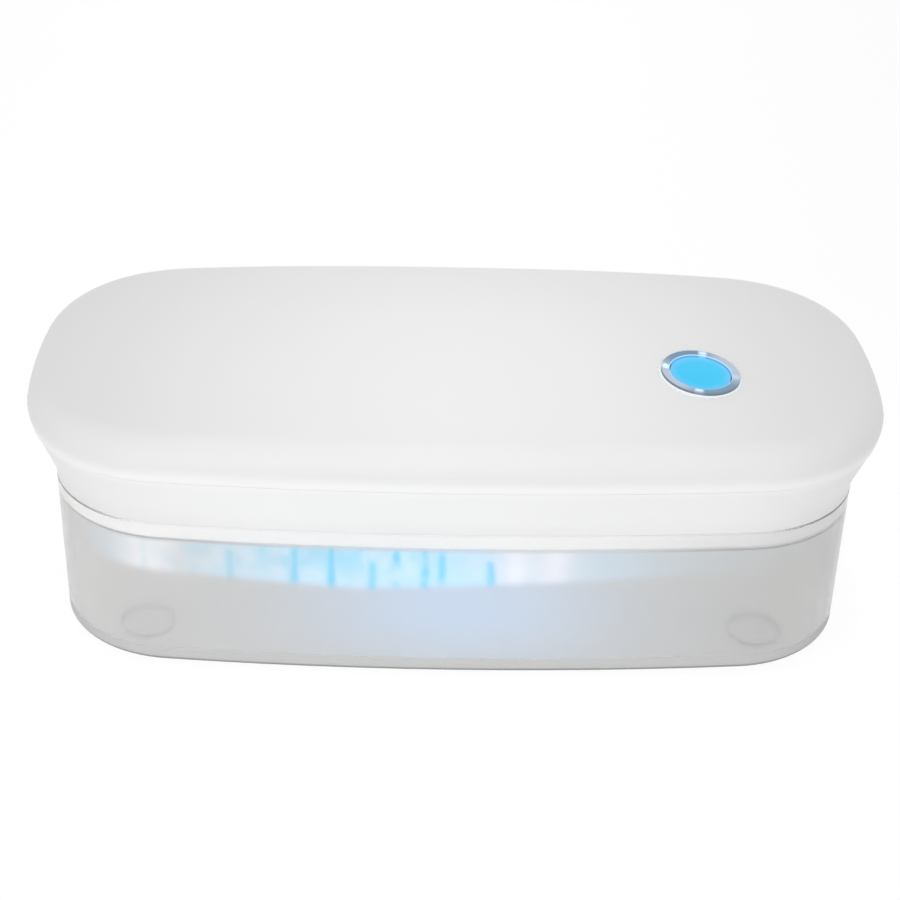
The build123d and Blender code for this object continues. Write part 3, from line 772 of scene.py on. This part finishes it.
@dataclass(frozen=True, kw_only=True)
class LitRing(Finish):
    """Polished ring with painted reflection, darker on two facing sides and on its outer wall and pale in
    its bore, with painted glints of four lamps.

    The angle about the axis is atan2 of the point's parts along two directions square to it, and
    the radius is the root of the sum of their squares.
    """

    roughness: float = 0.16
    roughness_change: float = 0.1
    grain: float = 2 * MM
    grain_depth: float = 0.03 * MM
    centre: Point
    first: Point
    second: Point
    # Painted reflection: the ring is darker on two facing sides and at its outer wall, and pale in its
    # bore.
    painted_dark_sides: Colour
    dark_angle: float = math.radians(-65)
    dark_level: float = 0.8
    wall: Colour
    wall_radius: float
    wall_edge: float = 0.3 * MM
    bore: Colour
    bore_radius: float
    bore_edge: Pair = (0.35 * MM, 0.05 * MM)
    # Painted highlights: four glints, given as light.
    glint: Colour = (0.75, 0.93, 1.0)
    glint_strength: float = 0.65
    glint_radius: Pair = (10.6 * MM, 1.0 * MM)
    glint_levels: Pair = (0.80, 1.0)
    first_glint: float = math.radians(-8)
    faint_levels: Pair = (0.5, 1.0)
    faint_loss: float = 0.75

    def polar(self, shader: Shader) -> tuple[Term, Term]:
        """Find the point's place round the axis.

        Args:
            shader: The material's shader.

        Returns:
            The angle about the axis, in radians, and the distance from it.
        """
        arm = shader.vector_math("SUBTRACT", shader.point, self.centre).outputs[0]
        across, along = (
            Term(shader, shader.vector_math("DOT_PRODUCT", arm, side).outputs["Value"])
            for side in (self.first, self.second)
        )
        return along.math("ARCTAN2", along, across), (across * across + along * along) ** 0.5

    def base(self, shader: Shader) -> Socket:
        """Painted reflection: two darker sides, a darker outer wall and a pale bore.

        Args:
            shader: The material's shader.

        Returns:
            The colour's socket.
        """
        angle, radius = self.polar(shader)
        facing = (angle - self.dark_angle + math.pi / 4).wave(math.pi)
        shadow = facing.rise(-self.dark_level, self.dark_level)
        outside = radius.rise(self.wall_radius - self.wall_edge, self.wall_radius)
        inside = radius.rise(*(self.bore_radius + edge for edge in self.bore_edge))
        top = shader.blend(shader.blend(self.colour, self.painted_dark_sides, shadow), self.wall, outside)
        return shader.blend(top, self.bore, inside)

    def glints(self, shader: Shader) -> Term:
        """One painted glint every quarter turn, the one at the button's far side fainter.

        Args:
            shader: The material's shader.

        Returns:
            The glints' strength.
        """
        angle, radius = self.polar(shader)
        quarter = math.pi / 2
        turns = (angle - self.first_glint + quarter / 4).wave(quarter).rise(*self.glint_levels)
        faint = (angle + quarter).wave(math.tau).rise(*self.faint_levels)
        return turns * radius.bell(*self.glint_radius) * (1 - self.faint_loss * faint)

    def extras(self, shader: Shader) -> dict[str, Any]:
        """Metal all over, and the painted glints' light."""
        light = shader.blend(BLACK, self.glint, self.glints(shader))
        return {"Metallic": 1.0, "Emission Color": light, "Emission Strength": self.glint_strength}


@dataclass(frozen=True)
class CircuitBoard(Finish):
    """Lacquered board with faint copper tracks under the lacquer, as far apart as its grain."""

    roughness: float = 0.36
    roughness_change: float = -0.08
    grain: float = 1.3 * MM
    grain_depth: float = 0.03 * MM
    track: Colour = (0.10, 0.36, 0.20)
    track_levels: Pair = (0.72, 0.84)
    wander: float = 1.4
    wander_size: float = 7 * MM

    def pattern(self, shader: Shader) -> Term:
        """Tracks where either of two crossed waves is high; they wander to one side.

        Args:
            shader: The material's shader.

        Returns:
            1 on the tracks, 0 elsewhere.
        """
        shift = self.wander * self.grain * shader.noise(self.wander_size)
        across, along = ((place + shift).wave(self.grain) for place in (shader.x, shader.y))
        return across.largest(along).rise(*self.track_levels)

    def base(self, shader: Shader) -> Socket:
        """The lacquer's colour, and the tracks'."""
        return shader.blend(self.colour, self.track, self.pattern(shader))


@dataclass(frozen=True)
class ClearWindow(ShadedFinish):
    """Clear quartz window with slight ripples."""

    roughness: float = 0.05
    roughness_change: float = 0.02
    grain: float = 4 * MM
    grain_depth: float = 0.01 * MM
    index: float = 1.46
    shade_size: float = 8 * MM
    unevenness: float = 0.03

    def extras(self, shader: Shader) -> dict[str, Any]:
        """Clear all over."""
        return {"Transmission Weight": 1.0}


@dataclass
class Shape:
    """Mesh as arrays: its points, and its faces grouped by their number of corners."""

    points: np.ndarray
    faces: list[np.ndarray]

    @staticmethod
    def joined(shapes: Sequence[Shape]) -> Shape:
        """One shape of several, each kept as it is.

        Args:
            shapes: The shapes.

        Returns:
            Their points and faces in one shape.
        """
        starts = np.cumsum([0] + [len(shape.points) for shape in shapes[:-1]])
        faces = [group + start for shape, start in zip(shapes, starts) for group in shape.faces]
        return Shape(np.concatenate([shape.points for shape in shapes]), faces)

    def piece(self, name: str) -> bpy.types.Object:
        """Smooth mesh object of the shape, at the origin.

        Args:
            name: The object's name.

        Returns:
            The object.
        """
        mesh = bpy.data.meshes.new(name)
        faces = [face for group in self.faces for face in group.tolist()]
        mesh.from_pydata(self.points.tolist(), [], faces)
        mesh.update()
        mesh.polygons.foreach_set("use_smooth", np.ones(len(mesh.polygons), dtype=bool))
        made = bpy.data.objects.new(name, mesh)
        bpy.context.scene.collection.objects.link(made)
        return made


@dataclass(frozen=True)
class Lathe:
    """Turns sections about an axis.

    A section's point at angle a is centre + radius (cos a U + sin a V) + height N, where U and V
    are two directions square to the axis N = U x V.
    """

    centre: np.ndarray
    first: np.ndarray
    second: np.ndarray
    segments: int = 96

    def turned_points(self, section: np.ndarray) -> np.ndarray:
        """Points of a turned section, all of the first angle first.

        Args:
            section: The section's points, one (radius, height) row each.

        Returns:
            The points, one (x, y, z) row each.
        """
        angle = np.linspace(0, math.tau, self.segments, endpoint=False)[:, None, None]
        radius, height = section[None, :, :1], section[None, :, 1:]
        outward = np.cos(angle) * self.first + np.sin(angle) * self.second
        points = self.centre + radius * outward + height * np.cross(self.first, self.second)
        return points.reshape(-1, 3)

    def turned_faces(self, count: int) -> np.ndarray:
        """Quads round the axis, by angle and by place along a closed section.

        Face (i, j) joins points (i, j), (i, j+1), (i+1, j+1) and (i+1, j), each counted round.

        Args:
            count: Number of the section's points.

        Returns:
            The quads' corners, in an array of segments x count x 4.
        """
        i, j = np.meshgrid(np.arange(self.segments), np.arange(count), indexing="ij")
        down, right = (i + 1) % self.segments, (j + 1) % count
        corners = [i * count + j, i * count + right, down * count + right, down * count + j]
        return np.stack(corners, axis=-1)

    def ring(self, section: np.ndarray) -> Shape:
        """Ring from a closed section, given clockwise with the radius to the right and height up."""
        return Shape(self.turned_points(section), [self.turned_faces(len(section)).reshape(-1, 4)])

    def solid(self, section: np.ndarray) -> Shape:
        """Solid from an open section whose first and last points stand on the axis.

        Args:
            section: The section from the top to the bottom; its end points become the two poles.

        Returns:
            The closed shape.
        """
        inner = section[1:-1]
        count = len(inner)
        normal = np.cross(self.first, self.second)
        poles = self.centre + section[[0, -1], 1:] * normal
        points = np.concatenate([self.turned_points(inner), poles])
        quads = self.turned_faces(count)[:, :-1].reshape(-1, 4)
        start = np.arange(self.segments) * count
        following = np.roll(start, -1)
        top = np.full(self.segments, self.segments * count)
        high = np.stack([top, start, following], axis=1)
        low = np.stack([top + 1, following + count - 1, start + count - 1], axis=1)
        return Shape(points, [quads, high, low])


def smooth_loop(corners: Sequence[Point], steps: int) -> np.ndarray:
    """Closed section with rounded corners.

    Each corner is given as (radius, height, rounding). The rounding is a quadratic curve
    (1-t)^2 P0 + 2 t (1-t) C + t^2 P2 from a point before the corner to one after it, both at the
    rounding's distance from the corner C.

    Args:
        corners: The section's corners in order.
        steps: Points on each rounding.

    Returns:
        Points of the section, one (radius, height) row each.
    """
    table = np.array(corners)
    place, rounding = table[:, :2], table[:, 2:]
    before = np.roll(place, 1, axis=0) - place
    after = np.roll(place, -1, axis=0) - place
    start = place + before / np.linalg.norm(before, axis=1, keepdims=True) * rounding
    end = place + after / np.linalg.norm(after, axis=1, keepdims=True) * rounding
    t = np.linspace(0, 1, steps)[None, :, None]
    curve = (1 - t) ** 2 * start[:, None] + 2 * t * (1 - t) * place[:, None] + t**2 * end[:, None]
    return curve.reshape(-1, 2)


@dataclass
class PushButton:
    """Round lit push button with its bright ring and its fine halo.

    Heights are over the lid's surface. The lens' rim has points at the given insets from its
    radius and drops from the dome's edge.
    """

    lathe: Lathe
    lens_radius: float = 9.1 * MM
    lens_top: float = 0.75 * MM
    lens_edge_top: float = 0.35 * MM
    lens_bottom: float = -1.2 * MM
    dome_inset: float = 0.3 * MM
    dome_steps: int = 13
    rim_insets: Pair = (0.08 * MM, 0.0)
    rim_drops: Pair = (0.1 * MM, 0.3 * MM)
    lens_bevel: float = 0.1 * MM
    ring_bore: float = 9.4 * MM
    ring_radius: float = 12.0 * MM
    ring_top: float = 1.2 * MM
    ring_fall: float = 0.3 * MM
    ring_foot: float = 0.25 * MM
    bore_round: float = 0.25 * MM
    rim_round: float = 0.7 * MM
    foot_round: float = 0.1 * MM
    sleeve_radius: float = 10.7 * MM
    sleeve_bottom: float = -5.0 * MM
    sleeve_round: float = 0.15 * MM
    halo_radius: float = 12.3 * MM
    halo_bottom: float = -0.65 * MM
    halo_top: float = 0.25 * MM
    halo_bore: float = 10.8 * MM
    halo_round: float = 0.2 * MM
    fine_round: float = 0.05 * MM
    steps: int = 7

    @classmethod
    def in_frame(cls, frame: Mapping[str, Any], press: str, halo: str) -> PushButton:
        """Find the button's axis, which has the press joint's direction and goes through the halo.

        Args:
            press: Name of the button's joint.
            halo: Node of the halo, which lies square to the axis.

        Returns:
            The button, whose lathe has its centre on the lid's surface and no Y in its first direction.
        """
        joint = next(j for j in frame["joints"] if j["name"] == press)
        outward = -Vector(joint["axis"]).normalized()
        low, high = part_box(halo)
        middle = (Vector(low) + Vector(high)) / 2
        centre = middle - outward * (cls.halo_bottom + cls.halo_top) / 2
        first = np.cross((0.0, 1.0, 0.0), np.array(outward))
        first /= np.linalg.norm(first)
        return cls(Lathe(np.array(centre), first, np.cross(np.array(outward), first)))

    def ring(self) -> bpy.types.Object:
        """Bright ring: a rounded flange that falls towards the lens, on a plain sleeve.

        Returns:
            The ring's piece.
        """
        section = smooth_loop([
            (self.ring_bore, self.ring_top - self.ring_fall, self.bore_round),
            (self.ring_radius, self.ring_top, self.rim_round),
            (self.ring_radius, self.ring_foot, self.foot_round),
            (self.sleeve_radius, self.ring_foot, self.fine_round),
            (self.sleeve_radius, self.sleeve_bottom, self.sleeve_round),
            (self.ring_bore, self.sleeve_bottom, self.sleeve_round),
        ], self.steps)
        made = self.lathe.ring(section).piece("button_ring")
        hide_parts("button_bezel")
        return made

    def lens(self) -> bpy.types.Object:
        """Lens whose top is a shallow dome: height = edge + rise (1 - (r / radius)^2).

        Returns:
            The lens' piece.
        """
        radius = np.linspace(0, self.lens_radius - self.dome_inset, self.dome_steps)
        rise = self.lens_top - self.lens_edge_top
        height = self.lens_edge_top + rise * (1 - (radius / self.lens_radius) ** 2)
        dome = np.stack([radius, height], axis=1)
        rim = (self.lens_radius, self.lens_edge_top) - np.array([self.rim_insets, self.rim_drops]).T
        foot = np.array([
            (self.lens_radius, self.lens_bottom + self.lens_bevel),
            (self.lens_radius - self.lens_bevel, self.lens_bottom),
            (0.0, self.lens_bottom),
        ])
        made = self.lathe.solid(np.concatenate([dome, rim, foot])).piece("button_cap")
        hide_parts("button_lens")
        return made

    def halo(self) -> bpy.types.Object:
        """Fine light ring round the bright ring.

        Returns:
            The halo's piece.
        """
        section = smooth_loop([
            (self.halo_bore, self.halo_top, self.fine_round),
            (self.halo_radius, self.halo_top, self.halo_round),
            (self.halo_radius, self.halo_bottom, self.fine_round),
            (self.halo_bore, self.halo_bottom, self.fine_round),
        ], self.steps)
        made = self.lathe.ring(section).piece("button_halo")
        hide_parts("button_light_ring")
        return made

    def build(self) -> None:
        """Make the button's pieces, dress them and set them on their bodies."""
        axis = (self.lathe.centre, self.lathe.first, self.lathe.second)
        centre, first, second = (tuple(part.tolist()) for part in axis)
        blue = LitPlastic(
            "lit_lens", (0.05, 0.52, 0.83), centre=centre, reach=self.lens_radius,
            edge=(0.14, 0.52, 0.84), body_share=0.12, gloss=0.1,
        )
        white = LitPlastic("lit_halo", (0.93, 0.97, 1.0), strength=0.32, body_share=0.75)
        # Painted reflection and painted glints on the polished ring.
        chrome = LitRing(
            "polished_ring", (0.47, 0.56, 0.66), centre=centre, first=first, second=second,
            painted_dark_sides=(0.19, 0.30, 0.42), wall=(0.22, 0.26, 0.31), wall_radius=self.ring_radius,
            bore=(0.70, 0.83, 0.94), bore_radius=self.ring_bore,
        )
        dress(self.lens(), "button", blue)
        dress(self.ring(), "lid", chrome)
        dress(self.halo(), "lid", white)


@dataclass
class ClearFeet:
    """Four clear pads with rounded rims, each a film of glue below its seat in the tub's floor."""

    low: Vector
    high: Vector
    radius: float = 8.2 * MM
    glue: float = 0.04 * MM
    top_round: float = 0.1 * MM
    rim_round: float = 0.45 * MM
    segments: int = 64
    steps: int = 6

    def pad(self, x: float, y: float) -> Shape:
        """One pad.

        Args:
            x: X of its axis.
            y: Y of its axis.

        Returns:
            The pad's shape.
        """
        top = self.high.z - self.low.z - self.glue
        loop = smooth_loop([
            (0.0, top, 0.0),
            (self.radius, top, self.top_round),
            (self.radius, 0.0, self.rim_round),
            (0.0, 0.0, 0.0),
        ], self.steps)
        # The loop has each pole as many times as a rounding has points; the section has it once.
        section = loop[self.steps - 1:1 - self.steps]
        return Lathe(np.array((x, y, self.low.z)), np.eye(3)[0], np.eye(3)[1], self.segments).solid(section)

    def build(self, finish: Finish) -> None:
        """Make the four pads one piece and dress it.

        Args:
            finish: The pads' finish.
        """
        pads = [
            self.pad(x, y)
            for x in (self.low.x + self.radius, self.high.x - self.radius)
            for y in (self.low.y + self.radius, self.high.y - self.radius)
        ]
        made = Shape.joined(pads).piece("clear_feet")
        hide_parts("rubber_feet")
        dress(made, "base", finish)


def dress(piece: bpy.types.Object, body: str, finish: Finish) -> None:
    """Give a new piece its finish, in a material slot of its own, and its body.

    Args:
        piece: The piece.
        body: The body that it rides on.
        finish: Its finish.
    """
    piece.data.materials.append(finish.material())
    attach(piece, body)
    LOG.info("piece %s: %d faces, rides on %s", piece.name, len(piece.data.polygons), body)


@dataclass
class CadNodes:
    """The CAD nodes that stay visible, each with the finish of its real surface."""

    nodes: Mapping[str, bpy.types.Object]
    shell: Colour = (0.91, 0.91, 0.91)

    def finishes(self) -> dict[str, Finish]:
        """Settle each node's finish.

        Returns:
            The finishes by node.
        """
        black = MouldedPlastic("black_plastic", (0.02, 0.02, 0.022), 0.5)
        steel = PlatedMetal("small_steel", (0.55, 0.55, 0.57), 0.3)
        green = CircuitBoard("green_lacquer", (0.02, 0.12, 0.06))
        return {
            "tub": FrostedTub("frosted_tub", (0.965, 0.962, 0.958)),
            "tub_magnet": PlatedMetal("magnet_nickel", (0.6, 0.6, 0.62)),
            "lid_tray": ShellPlastic("tray_white", self.shell, 0.42, painted_end_shade=0.94),
            # Painted light: the plug ring glows a little, making up for the light that reaches it through
            # the frosted wall.
            "plug_ring": LitPlastic("ring_white_painted_light", (0.91, 0.92, 0.93), strength=0.15, roughness=0.4),
            "lid_cover": ShellPlastic("lid_white", self.shell, 0.38),
            "button_body": MouldedPlastic("button_white", (0.7, 0.75, 0.8)),
            "switch_stem": black,
            "switch_housing": black,
            "switch_board": green,
            "button_leds": LitPlastic("small_lamps", (0.8, 0.95, 1.0), strength=2.0),
            "led_board": CircuitBoard("white_lacquer", (0.75, 0.75, 0.73), track=(0.65, 0.66, 0.65)),
            "uvc_leds": LitPlastic("disinfecting_lamps", (0.35, 0.3, 0.9), strength=1.5),
            "glow_leds": LitPlastic("visible_lamps", (0.25, 0.6, 1.0), strength=4.0),
            "led_windows": ClearWindow("quartz", (0.95, 0.97, 1.0)),
            "reflector_plate": PlatedMetal(
                "rolled_aluminium", (0.85, 0.86, 0.88), 0.28, grain=0.4 * MM, stretch=(30.0, 1.0, 1.0)
            ),
            "lid_screws": steel,
            "screw_caps": SoftRubber("cap_silicone", (0.8, 0.8, 0.8)),
            "main_board": green,
            "board_screws": steel,
            "control_chip": MouldedPlastic("moulded_chip", (0.015, 0.015, 0.017), 0.55),
            "inductor": MouldedPlastic("ferrite_grey", (0.05, 0.05, 0.055), 0.7),
            "wire_connectors": MouldedPlastic("connector_ivory", (0.8, 0.76, 0.66)),
            "hall_sensor": black,
            "usb_port": PlatedMetal("stamped_socket", (0.6, 0.6, 0.63), 0.22),
            "usb_tongue": black,
            "battery_cell": MouldedPlastic("blue_sleeve", (0.05, 0.16, 0.42), 0.25),
            "battery_holder": black,
            "battery_contacts": PlatedMetal("contact_nickel", (0.65, 0.64, 0.6)),
        }

    def build(self) -> None:
        """Put each finish on every slot of its node."""
        for name, finish in self.finishes().items():
            node = self.nodes[name]
            material = finish.material()
            if not node.material_slots:
                node.data.materials.append(material)
            for slot in node.material_slots:
                slot.link = "OBJECT"
                slot.material = material
            LOG.info("node %s: finish %s", name, finish.name)


class Lamp(Enum):
    """Studio lamps by their place round the object."""

    OVERHEAD = "overhead"
    FRONT = "front"


@dataclass(frozen=True)
class SoftLamp:
    """Soft lamp that looks at a point: a square panel, or a round one with a narrow cone."""

    kind: Lamp
    place: Point
    target: Point
    side: float
    power: float
    cone: float | None = None

    def build(self) -> None:
        """Add the lamp to the scene; it doesn't show in mirrors."""
        data = bpy.data.lights.new(self.kind.value, "SPOT" if self.cone else "AREA")
        if self.cone:
            data.shadow_soft_size = self.side / 2
            data.spot_size, data.spot_blend = self.cone, 1.0
        else:
            data.size = self.side
        data.energy = self.power
        lamp = bpy.data.objects.new(self.kind.value, data)
        bpy.context.scene.collection.objects.link(lamp)
        lamp.location = self.place
        aim = Vector(self.target) - Vector(self.place)
        lamp.rotation_euler = aim.to_track_quat("-Z", "Y").to_euler()
        lamp.visible_glossy = False


@dataclass
class Studio:
    """Plain pale floor, white surroundings and soft lamps.

    The table gives its own light, less of it from the dim distance on to both sides of its middle.
    """

    floor_half: float = 4.0
    world_level: float = 0.54
    table_level: float = 0.36
    table_dim: Colour = (0.5, 0.5, 0.5)
    table_middle: float = -0.05
    table_reach: Pair = (0.05, 0.35)
    table_dark: Colour = (0.88, 0.88, 0.88)
    table_pale: Colour = (0.9, 0.9, 0.9)
    speck: float = 30 * MM
    shown_white: float = 1.03
    shadow_share: float = 0.15
    clear_shadow_share: float = 0.25
    lamps: tuple[SoftLamp, ...] = (
        SoftLamp(
            Lamp.OVERHEAD, (0.0, -0.10, 1.5), target=(0.0, -0.02, 0.08), side=0.3, power=41.5,
            cone=math.radians(14.7),
        ),
        SoftLamp(Lamp.FRONT, (-0.2, -0.9, 0.14), target=(0.0, 0.0, 0.06), side=0.6, power=2.1),
    )

    @staticmethod
    def seen(shader: Shader, clear_share: float) -> Term:
        """How much of the plain white a ray sees.

        Args:
            shader: The shader that asks.
            clear_share: The share for rays through clear surfaces.

        Returns:
            1 for rays from the camera or from mirrors, the share through clear surfaces, else 0.
        """
        path = shader.node("ShaderNodeLightPath")
        camera, glossy, clear = (
            Term(shader, path.outputs[name])
            for name in ("Is Camera Ray", "Is Glossy Ray", "Is Transmission Ray")
        )
        return camera.largest(glossy).largest(clear * clear_share)

    def build_world(self) -> None:
        """White where it is seen, and a plain level of light on the object."""
        world = bpy.data.worlds.new("studio")
        bpy.context.scene.world = world
        shader = Shader(world)
        seen = self.seen(shader, 1.0)
        level = self.world_level + (self.shown_white - self.world_level) * seen
        back = shader.node("ShaderNodeBackground", None, {"Color": WHITE, "Strength": level})
        shader.end(back.outputs[0], "ShaderNodeOutputWorld")

    def build_floor(self) -> None:
        """Large lit table at the resting surface that shows white and keeps a share of the shadow."""
        half = self.floor_half
        points = np.array([(-half, -half, 0), (half, -half, 0), (half, half, 0), (-half, half, 0)])
        floor = Shape(points, [np.array([[0, 1, 2, 3]])]).piece("floor")
        material = bpy.data.materials.new("floor_white")
        shader = Shader(material)
        aside = abs(shader.x - self.table_middle).rise(*self.table_reach)
        table = shader.principled({
            "Base Color": shader.blend(self.table_dark, self.table_pale, shader.noise(self.speck)),
            "Roughness": 1.0,
            "Specular IOR Level": 0.0,
            "Emission Color": shader.blend(WHITE, self.table_dim, aside),
            "Emission Strength": self.table_level,
        })
        shown = shader.node("ShaderNodeEmission", None, {"Color": WHITE, "Strength": self.shown_white})
        clear_share = (1 - self.clear_shadow_share) / (1 - self.shadow_share)
        factor = (1 - self.shadow_share) * self.seen(shader, clear_share)
        shader.end(shader.mix(factor, table, shown.outputs[0]))
        floor.data.materials.append(material)

    def build(self) -> None:
        """Make the floor, the surroundings and the lamps."""
        bpy.context.scene.view_settings.view_transform = "Standard"
        self.build_world()
        self.build_floor()
        for lamp in self.lamps:
            lamp.build()
            LOG.info("lamp %s", lamp.kind.value)


@dataclass(frozen=True)
class PhotoCamera:
    """Camera at the photograph's viewpoint, for a square image; its angles are in degrees."""

    azimuth: float = -1.28
    elevation: float = 29.71
    roll: float = 1.566
    distance: float = 0.693
    target: Point = (-0.98 * MM, 11.65 * MM, 40.1 * MM)
    focal_pixels: float = 2150.0
    image_pixels: float = 900.0
    sensor: float = 36.0
    sight: Pair = (0.01, 50.0)

    def build(self) -> None:
        """Add the camera and make it the scene's."""
        turn, lift, roll = (math.radians(a) for a in (self.azimuth, self.elevation, self.roll))
        back = Vector((
            math.sin(turn) * math.cos(lift), -math.cos(turn) * math.cos(lift), math.sin(lift)
        ))
        level = Vector((math.cos(turn), math.sin(turn), 0.0))
        upward = back.cross(level)
        right = level * math.cos(roll) + upward * math.sin(roll)
        top = upward * math.cos(roll) - level * math.sin(roll)
        data = bpy.data.cameras.new("camera")
        data.sensor_width = self.sensor
        data.lens = self.focal_pixels / self.image_pixels * self.sensor
        data.clip_start, data.clip_end = self.sight
        camera = bpy.data.objects.new("camera", data)
        bpy.context.scene.collection.objects.link(camera)
        turned = Matrix((right, top, back)).transposed().to_4x4()
        camera.matrix_world = Matrix.Translation(Vector(self.target) + back * self.distance) @ turned
        bpy.context.scene.camera = camera


def main() -> None:
    """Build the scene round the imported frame."""
    logging.basicConfig(level=logging.INFO, format="%(message)s")
    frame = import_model()
    PhotoCamera().build()
    Studio().build()
    CadNodes(frame["nodes"]).build()
    PushButton.in_frame(frame, "button_press", "button_light_ring").build()
    low, high = (Vector(corner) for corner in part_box("rubber_feet"))
    silicone = ClearSilicone("foot_silicone", (0.985, 0.985, 0.985), 0.10, clearness=0.98)
    ClearFeet(low, high).build(silicone)


if __name__ == "__main__":
    main()
